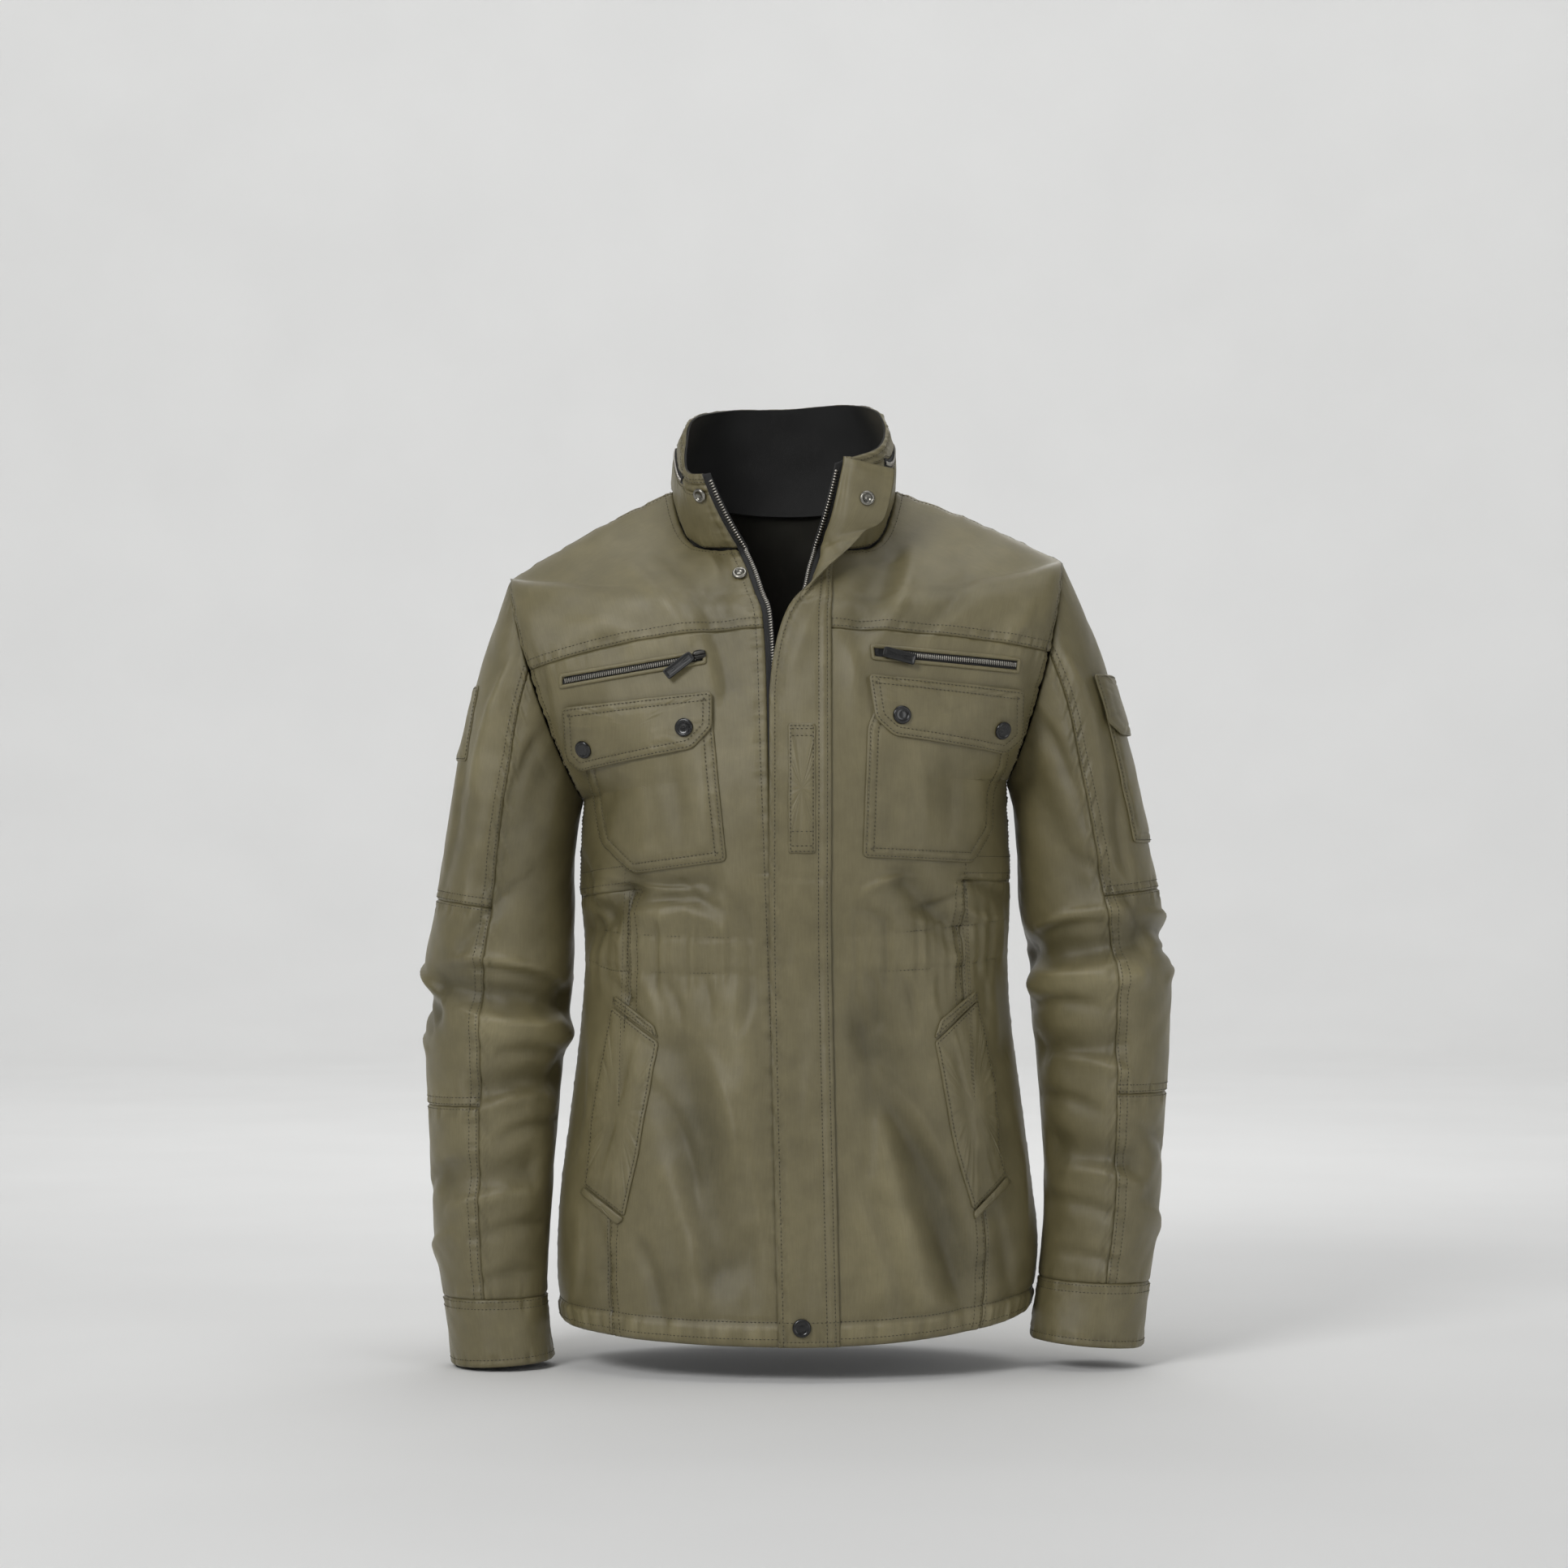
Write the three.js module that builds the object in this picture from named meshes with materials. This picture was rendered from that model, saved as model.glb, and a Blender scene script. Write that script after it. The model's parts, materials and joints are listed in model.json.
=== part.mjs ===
// A men's field jacket as it hangs when worn: lightly padded olive twill, standing collar with a
// hood zip, full front zip under a storm flap, four pockets, a sleeve pocket and set-in sleeves.
// Millimetres. +X is the wearer's left, the front faces -Y, +Z is up. The origin lies between the
// shoulders, level with the points where the shoulder seams meet the neck.
import * as THREE from "three";

const CLOTH_WALL = 3; // twill, thin wadding and lining together
const COLLAR_WALL = 2.2;
const FACING_WALL = 1.5;
const PATCH_WALL = 2; // pocket bodies and other patches
const BAND_WALL = 2.6; // the folded bands at both ends of a hand pocket
const THIN_WALL = 1.2; // the storm flap's tab and the sleeve's badge
const FLAP_WALL = 2.4;
const TAPE_WALL = 1.2;
const TAPE_DEPTH = 1.4; // the zip tapes lie this far below the face of the cloth
const TAPE_WIDTH = 8;
const SEAM_GAP = 0.36; // between two pieces at a seam
const LAY_GAP = 0.3; // between a piece and what is laid on it
const MERGE = 0.02; // points of one piece closer than this are one
const WELD_BIAS = 0.1; // turns the shared normals of a seam a little downwards

// Rows of the torso grid, counted from the neckline down to the hem.
const TIP_ROW = 6; // the shoulder seam ends here, at the armhole
const YOKE_ROW = 11;
const UNDERARM_ROW = 17;
const HEM_ROW = 33;
const SIDE_PANEL_ROW = 20;
const FRONT_COLUMNS = 9; // column 0 is the zip tape
const SEAM_COLUMN = 5; // the seam between front and side panel
const SEAM_ACROSS = 0.56;
const BACK_COLUMNS = 16;

// Rows of the sleeve grid, counted from the armhole to the cuff's edge.
const RING_COLUMNS = 2 * (UNDERARM_ROW - TIP_ROW);
const FRONT_SEAM_COLUMN = 6;
const BACK_SEAM_COLUMN = 16;
const ELBOW_ROW = 9;
const FOREARM_ROW = 15;
const CUFF_ROW = 20;
const SLEEVE_ROWS = 22;
const SLEEVE_BLEND = 5; // rows over which the armhole's loop becomes a plain ring

const FRONT = {
  // Centre line of the front, with how square the section is and how late its edge lifts.
  centre: [
    { at: 0, x: 0, y: -74, z: -57, square: 2, lift: 10 },
    { at: 3, x: 0, y: -87, z: -74, square: 2, lift: 5 },
    { at: 6, x: 0, y: -101, z: -92, square: 2.1, lift: 3 },
    { at: 11, x: 2, y: -121, z: -124, square: 2.2, lift: 2 },
    { at: 17, x: 6, y: -141, z: -245, square: 2.4, lift: 2 },
    { at: 20, x: 8, y: -137, z: -328, square: 2.5, lift: 2 },
    { at: 22.5, x: 9, y: -128, z: -398, square: 2.5, lift: 2 },
    { at: 26, x: 9, y: -130, z: -498, square: 2.5, lift: 2 },
    { at: 33, x: 10, y: -136, z: -704, square: 2.4, lift: 2 },
  ],
  armholeDepth: -62,
  ridge: 0,
};
const BACK = {
  centre: [
    { at: 0, x: 0, y: 74, z: -12, square: 2, lift: 2 },
    { at: 6, x: 0, y: 101, z: -72, square: 2.2, lift: 2 },
    { at: 11, x: 2, y: 118, z: -132, square: 2.3, lift: 2 },
    { at: 17, x: 6, y: 126, z: -245, square: 2.4, lift: 2 },
    { at: 22.5, x: 9, y: 106, z: -398, square: 2.4, lift: 2 },
    { at: 28, x: 9, y: 120, z: -556, square: 2.4, lift: 2 },
    { at: 33, x: 10, y: 130, z: -700, square: 2.3, lift: 2 },
  ],
  armholeDepth: 66,
  ridge: 6, // how far the back's cloth rolls over the forward shoulder seam
};

const SHOULDER_ROUND = 3; // how far a shoulder seam rises over a straight line
const ARMHOLE_LEAN = 1.25; // above 1 the armhole's edge stays out longer before it turns in
const ROLL_SHARE = 0.3; // share of the back's width over which its cloth rolls at the shoulder
const FOLD_FADE = 2; // columns over which the folds die out beside a seam

// The wearer's right side has sign -1, the left +1. x is the distance from the middle plane.
const RIGHT = {
  sign: -1,
  neck: { x: 95, y: -2, z: -3 },
  tip: { x: 229, y: -18, z: -79 },
  side: [
    { at: 17, x: 169, z: -262 },
    { at: 19.4, x: 172, z: -327 },
    { at: 22, x: 168, z: -398 },
    { at: 24, x: 172, z: -452 },
    { at: 26.5, x: 180, z: -520 },
    { at: 29.2, x: 189, z: -594 },
    { at: 31.6, x: 191, z: -659 },
    { at: 33, x: 186, z: -697 },
  ],
  zip: [
    { at: 0, x: -31 },
    { at: 3, x: -23.5 },
    { at: 6, x: -17.5 },
    { at: 9, x: -12 },
    { at: 11, x: -9.5 },
    { at: 12.5, x: -8 },
    { at: 17, x: -5 },
    { at: 33, x: 12 },
  ],
};
const LEFT = {
  sign: 1,
  neck: { x: 92, y: -2, z: -3 },
  tip: { x: 230, y: -18, z: -64 },
  side: [
    { at: 17, x: 185, z: -246 },
    { at: 20.4, x: 188, z: -341 },
    { at: 22.5, x: 186, z: -398 },
    { at: 24.6, x: 190, z: -456 },
    { at: 26.8, x: 198, z: -517 },
    { at: 29.1, x: 206, z: -580 },
    { at: 30.7, x: 211, z: -624 },
    { at: 32, x: 209, z: -660 },
    { at: 33, x: 202, z: -688 },
  ],
  zip: [
    { at: 0, x: 22 },
    { at: 3, x: 17 },
    { at: 6, x: 13 },
    { at: 9, x: 4 },
    { at: 11, x: -3 },
    { at: 12.5, x: -7 },
    { at: 17, x: -4 },
    { at: 33, x: 13 },
  ],
};

// Sleeves: the outermost and innermost point of each ring, its middle in y and half its depth.
const SLEEVE_RIGHT = [
  { at: 0, outX: 229, outZ: -79, inX: 169, inZ: -262, y: -4, depth: 64 },
  { at: 3, outX: 256, outZ: -158, inX: 174, inZ: -285, y: -4, depth: 70 },
  { at: 6, outX: 276, outZ: -240, inX: 177, inZ: -318, y: -2, depth: 72 },
  { at: 9, outX: 292, outZ: -345, inX: 177, inZ: -362, y: 0, depth: 71 },
  { at: 11, outX: 303, outZ: -405, inX: 178, inZ: -410, y: 0, depth: 70 },
  { at: 13, outX: 301, outZ: -458, inX: 184, inZ: -458, y: -2, depth: 67 },
  { at: 15, outX: 299, outZ: -516, inX: 189, inZ: -514, y: -6, depth: 63 },
  { at: 18, outX: 294, outZ: -610, inX: 196, inZ: -606, y: -14, depth: 56 },
  { at: 20, outX: 285, outZ: -674, inX: 198, inZ: -673, y: -20, depth: 49 },
  { at: 22, outX: 278, outZ: -731, inX: 192, inZ: -726, y: -25, depth: 47 },
];
const SLEEVE_LEFT = [
  { at: 0, outX: 230, outZ: -64, inX: 185, inZ: -246, y: -4, depth: 64 },
  { at: 3, outX: 264, outZ: -142, inX: 191, inZ: -270, y: -4, depth: 70 },
  { at: 6, outX: 287, outZ: -225, inX: 194, inZ: -305, y: -2, depth: 72 },
  { at: 9, outX: 312, outZ: -336, inX: 196, inZ: -350, y: 0, depth: 71 },
  { at: 11, outX: 323, outZ: -392, inX: 203, inZ: -398, y: 0, depth: 70 },
  { at: 13, outX: 322, outZ: -447, inX: 207, inZ: -447, y: -2, depth: 67 },
  { at: 15, outX: 318, outZ: -505, inX: 212, inZ: -504, y: -6, depth: 63 },
  { at: 18, outX: 312, outZ: -600, inX: 216, inZ: -595, y: -14, depth: 56 },
  { at: 20, outX: 303, outZ: -662, inX: 210, inZ: -658, y: -20, depth: 49 },
  { at: 22, outX: 298, outZ: -716, inX: 202, inZ: -708, y: -25, depth: 47 },
];

// Top edge of the standing collar, by grid column from the right front end to the left one.
const COLLAR_TOP = [
  { at: 0, x: -62, y: -84, z: 4 },
  { at: 1, x: -69, y: -82, z: 3 },
  { at: 4.2, x: -84, y: -64, z: 8 },
  { at: 6.6, x: -85, y: -40, z: 31 },
  { at: 9, x: -80, y: -8, z: 57 },
  { at: 13, x: -52, y: 44, z: 70 },
  { at: 17, x: 0, y: 62, z: 73 },
  { at: 21, x: 54, y: 46, z: 75 },
  { at: 25, x: 79, y: -4, z: 64 },
  { at: 27.4, x: 85, y: -34, z: 44 },
  { at: 29.8, x: 78, y: -62, z: 27 },
  { at: 33, x: 49, y: -84, z: 15 },
  { at: 34, x: 41, y: -86, z: 12 },
];
const COLLAR_BULGE = 5; // how far its middle stands out from a straight line

// The hood zip runs round the collar between two columns.
const HOOD_ZIP_COLUMNS = [5, 29];
const COLLAR_ROWS = 5;
const HOOD_ZIP_ROW = 2;
const HOOD_ZIP_HEIGHT = 0.1; // as a share of the collar's height
const HOOD_ZIP_RISE = 0.3; // how much higher it lies at its ends, as the same share
const HOOD_ZIP_DEPTH = 0.5;

// Storm flap: its sewn line by torso row, and how far its free edge is turned back from lying flat.
const STORM_FLAP_WIDTH = 50;
const STORM_FLAP_COLUMNS = 4;
const STORM_FLAP_SEAT = 2.1; // from the cloth's face to the middle of the flap
const STORM_FLAP_RISE = 8; // how far the turned-back cloth stands out at its roll
const STORM_FLAP = [
  { at: 0, x: 39, backX: 77, backY: -17, backZ: 12 },
  { at: 2, x: 39, backX: 63, backY: -14, backZ: 8 },
  { at: 4, x: 38, backX: 50, backY: -11, backZ: 7 },
  { at: 6, x: 38, backX: 38, backY: -8, backZ: 7 },
  { at: 8, x: 38, backX: 26, backY: -5, backZ: 6 },
  { at: 10, x: 37, backX: 15, backY: -3, backZ: 4 },
  { at: 12, x: 37, backX: 5, backY: -1, backZ: 1 },
  { at: 14, x: 37, backX: 0, backY: 0, backZ: 0 },
  { at: 17, x: 37, backX: 0, backY: 0, backZ: 0 },
  { at: 22, x: 37, backX: 0, backY: 0, backZ: 0 },
  { at: 33, x: 44, backX: 0, backY: 0, backZ: 0 },
];
// Above the neckline it is sewn to the collar, by row of the collar.
const STORM_FLAP_COLLAR_COLUMN = 32.4;
const STORM_FLAP_ON_COLLAR = [
  { row: 0, backX: 79, backY: 20, backZ: -10 },
  { row: 2, backX: 80, backY: 14, backZ: -10 },
  { row: 4, backX: 81, backY: 2, backZ: -4 },
];
// Largest folds: from one end to the other, the width of the slope and the height, minus for a trough.
const FRONT_FOLDS = [
  { x1: -66, z1: -334, x2: -128, z2: -338, width: 12, height: -5 },
  { x1: -128, z1: -338, x2: -160, z2: -372, width: 13, height: -6 },
  { x1: -100, z1: -356, x2: -150, z2: -340, width: 11, height: 4 },
  { x1: -56, z1: -96, x2: -40, z2: -170, width: 11, height: -4 },
  { x1: -86, z1: -470, x2: -50, z2: -640, width: 20, height: -5 },
  { x1: -40, z1: -430, x2: -24, z2: -600, width: 16, height: 3 },
  { x1: 100, z1: -330, x2: 138, z2: -372, width: 12, height: -6 },
  { x1: 72, z1: -450, x2: 142, z2: -650, width: 20, height: -6 },
  { x1: 76, z1: -530, x2: 114, z2: -668, width: 14, height: 3.5 },
  { x1: 84, z1: -62, x2: 62, z2: -118, width: 14, height: -4 },
];
const BACK_FOLDS = [
  { x1: -120, z1: -150, x2: -60, z2: -350, width: 24, height: -6 },
  { x1: 130, z1: -140, x2: 70, z2: -350, width: 24, height: -6 },
  { x1: -130, z1: -372, x2: 40, z2: -380, width: 16, height: -6 },
  { x1: -20, z1: -404, x2: 140, z2: -396, width: 16, height: -5 },
  { x1: -30, z1: -440, x2: -52, z2: -640, width: 22, height: 5 },
  { x1: 70, z1: -450, x2: 92, z2: -650, width: 22, height: -5 },
];
// On a sleeve x is the ring column: 5 is the front of the arm, 11 the outside and 17 the back.
const SLEEVE_COLUMN_WIDTH = 19;
const SLEEVE_RIGHT_FOLDS = [
  { x1: 1, z1: -432, x2: 8.5, z2: -414, width: 13, height: -7 },
  { x1: 0, z1: -458, x2: 6, z2: -450, width: 12, height: 5 },
  { x1: 9, z1: -438, x2: 13.5, z2: -408, width: 13, height: -6 },
  { x1: 1, z1: -492, x2: 6, z2: -500, width: 13, height: -6 },
  { x1: 3, z1: -566, x2: 8, z2: -576, width: 14, height: -4 },
  { x1: 12, z1: -420, x2: 19, z2: -446, width: 16, height: -5 },
  { x1: 4, z1: -250, x2: 6, z2: -330, width: 20, height: -4 },
];
const SLEEVE_LEFT_FOLDS = [
  { x1: 0, z1: -392, x2: 7.5, z2: -380, width: 13, height: -7 },
  { x1: 1, z1: -416, x2: 7, z2: -408, width: 12, height: 5 },
  { x1: 8, z1: -362, x2: 12.5, z2: -384, width: 13, height: -6 },
  { x1: 1, z1: -470, x2: 6, z2: -464, width: 13, height: -5 },
  { x1: 2, z1: -548, x2: 7, z2: -560, width: 14, height: -5 },
  { x1: 12, z1: -400, x2: 19, z2: -430, width: 16, height: -5 },
  { x1: 3, z1: -250, x2: 5, z2: -330, width: 20, height: -4 },
];

// Outlines of what is laid on the fronts, seen from the front: corners as [x, z].
const FRONT_TRIM = {
  right: {
    pocket: [[-59, -196], [-47.5, -313], [-125, -324], [-150, -299], [-156, -269], [-165, -225], [-166, -206]],
    flap: [[-181, -188], [-177, -227], [-165, -237], [-74, -223], [-58.5, -206], [-58.5, -177]],
    flapSnaps: [[-161, -220], [-80, -206]],
    zipFrame: [[-184, -161], [-64, -142.3], [-63.4, -154.2], [-184, -173.3]],
    slider: { seat: [-74.6, -148], pull: [-20, -15.5] },
    welt: [[-142, -432], [-160, -526], [-164, -579], [-131, -602], [-119, -550], [-104, -460]],
    weltTop: [[-140, -423], [-106, -447], [-103.6, -457], [-140.6, -430.7]],
    weltBottom: [[-164.5, -580.5], [-131, -603.8], [-136.6, -609], [-167, -586]],
  },
  left: {
    pocket: [[72, -190], [66, -205], [62, -310], [152.5, -314.6], [169, -288], [170, -258], [180, -236], [185, -205]],
    flap: [[66.7, -163], [71.3, -199], [85.8, -212.3], [176, -223.5], [191.4, -211], [193.4, -174]],
    flapSnaps: [[92, -196], [173, -205]],
    zipFrame: [[67.3, -138], [191.4, -147.6], [190, -161], [69.3, -151.2]],
    slider: { seat: [78, -145], pull: [23, -6] },
    welt: [[157, -427], [171.6, -492], [175.6, -550], [180, -569.5], [153, -596.6], [138, -550], [121, -460]],
    weltTop: [[155, -419], [125.4, -442], [120.8, -457], [157, -426]],
    weltBottom: [[180.5, -571.5], [153.5, -598.7], [154.4, -605], [183.6, -577]],
  },
};
const ZIP_FRAME_BORDER = { end: 4, edge: 3, wall: 1.6 };
const ZIP_STRIP = { wall: 1, endGap: 0.004, edgeGap: 0.03 }; // gaps as shares of the frame
const FLAP_TAB = [[2, -203], [24, -203], [24, -307], [2, -307]];
const HEM_SNAP = [13, -688];
const PLACKET_SNAP = [-37.5, -79];
const COLLAR_SNAP = [-70, -14];
const STORM_FLAP_SNAP = [66, -18];
// On the sleeves an outline's corners are [ring column, z].
const SLEEVE_POCKET = [[8.3, -182], [13.8, -182], [13.8, -298], [8.3, -298]];
const SLEEVE_POCKET_FLAP = [[8, -160], [14.1, -160], [14.1, -200], [13.4, -210], [8.8, -210], [8, -200]];
const SLEEVE_BADGE = [[9.4, -168], [12.6, -168], [12.6, -230], [9.4, -230]];

// Snaps and sliders.
const SNAP_CAP = { radius: 7.5, height: 2.6 };
const SNAP_STUD = { radius: 6.2, height: 2.2 };
const SNAP_GAP = 0.45;
const SLIDER = { width: 8, length: 11, height: 2.4 };
const PULL_TAB = { width: 9, length: 27, height: 1.8, corner: 2 };
const PULL_TAB_RISE = SLIDER.height + 0.4;

const FINISHES = {
  cloth: { color: 0x766e52, roughness: 0.55, metalness: 0 },
  facing: { color: 0x101114, roughness: 0.9, metalness: 0 },
  zip_tape: { color: 0x15161a, roughness: 0.85, metalness: 0 },
  zip_metal: { color: 0x2a2b2e, roughness: 0.35, metalness: 1 },
  snap_cap: { color: 0x101115, roughness: 0.4, metalness: 0.6 },
  snap_ring: { color: 0x5a5b5e, roughness: 0.3, metalness: 1 },
  pull_tab: { color: 0x14161b, roughness: 0.5, metalness: 0.2 },
};

const jacket = new THREE.Group();

function addPiece(name, finish, geometry) {
  const mesh = new THREE.Mesh(geometry, new THREE.MeshStandardMaterial(FINISHES[finish]));
  mesh.name = name;
  mesh.material.name = finish;
  jacket.add(mesh);
  return mesh;
}

/** One column of a table at `at`: a smooth curve through the table's rows. */
function read(table, column, at) {
  let i = 0;
  while (i < table.length - 2 && at > table[i + 1].at) i += 1;
  const slope = (k) => {
    const before = table[Math.max(k - 1, 0)];
    const after = table[Math.min(k + 1, table.length - 1)];
    return (after[column] - before[column]) / (after.at - before.at);
  };
  const span = table[i + 1].at - table[i].at;
  const t = THREE.MathUtils.clamp((at - table[i].at) / span, 0, 1);
  const rise = t * t * (3 - 2 * t);
  const ends = table[i][column] * (1 - rise) + table[i + 1][column] * rise;
  return ends + span * t * (1 - t) * ((1 - t) * slope(i) - t * slope(i + 1));
}

/** Height of all folds of a table at a place: each is a soft bell across its own line. */
function foldHeight(folds, x, z, widthOfX = 1) {
  let height = 0;
  for (const fold of folds) {
    const [dx, dz] = [(fold.x2 - fold.x1) * widthOfX, fold.z2 - fold.z1];
    const [px, pz] = [(x - fold.x1) * widthOfX, z - fold.z1];
    const t = THREE.MathUtils.clamp((px * dx + pz * dz) / (dx * dx + dz * dz), 0, 1);
    const distance = Math.hypot(px - t * dx, pz - t * dz);
    height += fold.height * Math.exp(-((distance / fold.width) ** 2));
  }
  return height;
}

/** A cloth surface as a grid of points with outward normals; `closed` joins its last column to the first. */
class ClothGrid {
  constructor(rows, columns, pointAt, outward, closed = false) {
    Object.assign(this, { rows, columns, closed });
    this.stops = closed ? columns : columns + 1;
    this.points = Array.from({ length: rows + 1 }, (_, i) =>
      Array.from({ length: this.stops }, (_, j) => pointAt(i, j)),
    );
    this.outward = outward;
    this.findNormals();
  }

  column(j) {
    return this.closed ? (j + this.columns) % this.columns : THREE.MathUtils.clamp(j, 0, this.columns);
  }

  findNormals() {
    const { rows, stops, points } = this;
    let facing = 0;
    this.normals = points.map((line, i) =>
      line.map((point, j) => {
        const down = points[Math.min(i + 1, rows)][j].clone().sub(points[Math.max(i - 1, 0)][j]);
        const across = points[i][this.column(j + 1)].clone().sub(points[i][this.column(j - 1)]);
        const normal = across.cross(down).normalize();
        facing += normal.dot(this.outward(point, i, j));
        return normal;
      }),
    );
    this.sign = Math.sign(facing);
    for (let i = 0; i <= rows; i += 1)
      for (let j = 0; j < stops; j += 1) this.normals[i][j].multiplyScalar(this.sign);
  }

  /** Moves each point along its normal by heightAt(point, i, j). */
  fold(heightAt) {
    this.points.forEach((line, i) =>
      line.forEach((point, j) => point.addScaledVector(this.normals[i][j], heightAt(point, i, j))),
    );
    this.findNormals();
  }

  corners(i, j) {
    return [
      [i, j],
      [i, this.column(j + 1)],
      [i + 1, this.column(j + 1)],
      [i + 1, j],
    ];
  }
}

/** Gives the stops of several grids that meet at one point a shared normal, so their walls meet in a mitre. */
function weld(...stops) {
  const shared = new THREE.Vector3(0, 0, -WELD_BIAS); // keeps the mitre of an underarm pointing down
  for (const [grid, i, j] of stops) shared.add(grid.normals[i][j]);
  shared.normalize();
  for (const [grid, i, j] of stops) grid.normals[i][j].copy(shared);
}

// Orders points in space, so that two pieces split the wall that they share along the same diagonal.
const rank = ({ x, y, z }) => z + 0.37 * x + 0.19 * y;

/** Closes a shell: `faces` are triangles of the outer side, with an inner point for each outer one. */
function closedShell(outer, inner, faces) {
  const count = outer.length;
  const edges = new Set(faces.flatMap(([a, b, c]) => [`${a} ${b}`, `${b} ${c}`, `${c} ${a}`]));
  const all = [];
  for (const [a, b, c] of faces) {
    all.push(a, b, c, c + count, b + count, a + count);
    for (const [p, q] of [[a, b], [b, c], [c, a]]) {
      if (edges.has(`${q} ${p}`)) continue;
      if (rank(outer[p]) < rank(outer[q])) all.push(q, p, p + count, q, p + count, q + count);
      else all.push(q, p, q + count, p, p + count, q + count);
    }
  }
  const geometry = new THREE.BufferGeometry();
  const positions = [...outer, ...inner].flatMap((point) => point.toArray());
  geometry.setAttribute("position", new THREE.Float32BufferAttribute(positions, 3));
  geometry.setIndex(all);
  geometry.computeVertexNormals();
  return geometry;
}

/** A piece of cloth: the kept cells of a grid as a wall, drawn in a little along its own edges. */
function clothPiece(grid, keeps, { out = 0, wall = CLOTH_WALL } = {}) {
  const number = new Map();
  const stops = [];
  const faces = [];
  for (let i = 0; i < grid.rows; i += 1) {
    for (let j = 0; j < grid.columns; j += 1) {
      if (!keeps(i, j)) continue;
      const corners = grid.corners(i, j);
      const middle = new THREE.Vector3();
      for (const [r, c] of corners) middle.addScaledVector(grid.points[r][c], 0.25);
      const [a, b, c, d] = corners.map(([r, col]) => {
        const key = `${r} ${col}`;
        if (!number.has(key)) {
          number.set(key, stops.length);
          const [point, normal] = [grid.points[r][col], grid.normals[r][col]];
          stops.push({ point, normal, pull: new THREE.Vector3(), cells: 0 });
        }
        const stop = stops[number.get(key)];
        stop.pull.add(middle).sub(stop.point);
        stop.cells += 1;
        return number.get(key);
      });
      if (grid.sign > 0) faces.push([a, b, c], [a, c, d]);
      else faces.push([a, c, b], [a, d, c]);
    }
  }
  const outer = stops.map(({ point, normal, pull, cells }) => {
    const drawnIn = cells < 4 ? pull.clone().setLength(SEAM_GAP / 2) : new THREE.Vector3();
    return point.clone().add(drawnIn).addScaledVector(normal, out);
  });
  const inner = outer.map((point, k) => point.clone().addScaledVector(stops[k].normal, -wall));
  return closedShell(outer, inner, faces);
}

/** Cuts a flat polygon of stops by one side of a convex outline. */
function clip(polygon, [ax, ay], [bx, by]) {
  const sideOf = ({ plan: [x, y] }) => (bx - ax) * (y - ay) - (by - ay) * (x - ax);
  return polygon.flatMap((here, k) => {
    const next = polygon[(k + 1) % polygon.length];
    const [d1, d2] = [sideOf(here), sideOf(next)];
    const kept = d1 >= 0 ? [here] : [];
    if (d1 >= 0 === d2 >= 0) return kept;
    const t = d1 / (d1 - d2);
    const plan = here.plan.map((value, n) => value + (next.plan[n] - value) * t);
    const [point, normal] = [here.point.clone().lerp(next.point, t), here.normal.clone().lerp(next.normal, t)];
    return [...kept, { plan, point, normal }];
  });
}

/** Turns an outline anticlockwise. */
function anticlockwise(outline) {
  const area = outline.reduce((sum, [x, y], k) => {
    const [nx, ny] = outline[(k + 1) % outline.length];
    return sum + x * ny - nx * y;
  }, 0);
  return area > 0 ? outline : [...outline].reverse();
}

const faceOnView = (grid) => (i, j) => [grid.points[i][j].x, grid.points[i][j].z];

/** A piece laid on a grid inside convex outlines: the grid's own triangles, cut and moved out. */
function laidPiece(grid, outlines, { out = LAY_GAP, wall = PATCH_WALL, view = faceOnView(grid) } = {}) {
  const stops = [];
  const faces = [];
  const numberOf = (stop) => {
    const same = stops.findIndex(({ point }) => point.distanceTo(stop.point) < MERGE);
    return same >= 0 ? same : stops.push(stop) - 1;
  };
  for (const outline of outlines.map(anticlockwise)) {
    for (let i = 0; i < grid.rows; i += 1) {
      for (let j = 0; j < grid.stops - 1; j += 1) {
        const [a, b, c, d] = grid.corners(i, j).map(([r, col]) => ({
          plan: view(r, col),
          point: grid.points[r][col],
          normal: grid.normals[r][col],
        }));
        for (const triangle of [[a, b, c], [a, c, d]]) {
          let polygon = grid.sign > 0 ? triangle : [...triangle].reverse();
          outline.forEach((corner, k) => {
            if (polygon.length > 2) polygon = clip(polygon, corner, outline[(k + 1) % outline.length]);
          });
          if (polygon.length < 3) continue;
          const ring = polygon.map(numberOf).filter((n, k, all) => n !== all[(k + 1) % all.length]);
          for (let k = 1; k + 1 < ring.length; k += 1) faces.push([ring[0], ring[k], ring[k + 1]]);
        }
      }
    }
  }
  const outer = stops.map(({ point, normal }) => point.clone().addScaledVector(normal, out + wall));
  const inner = stops.map(({ point, normal }) => point.clone().addScaledVector(normal, out));
  return closedShell(outer, inner, faces);
}

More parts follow.
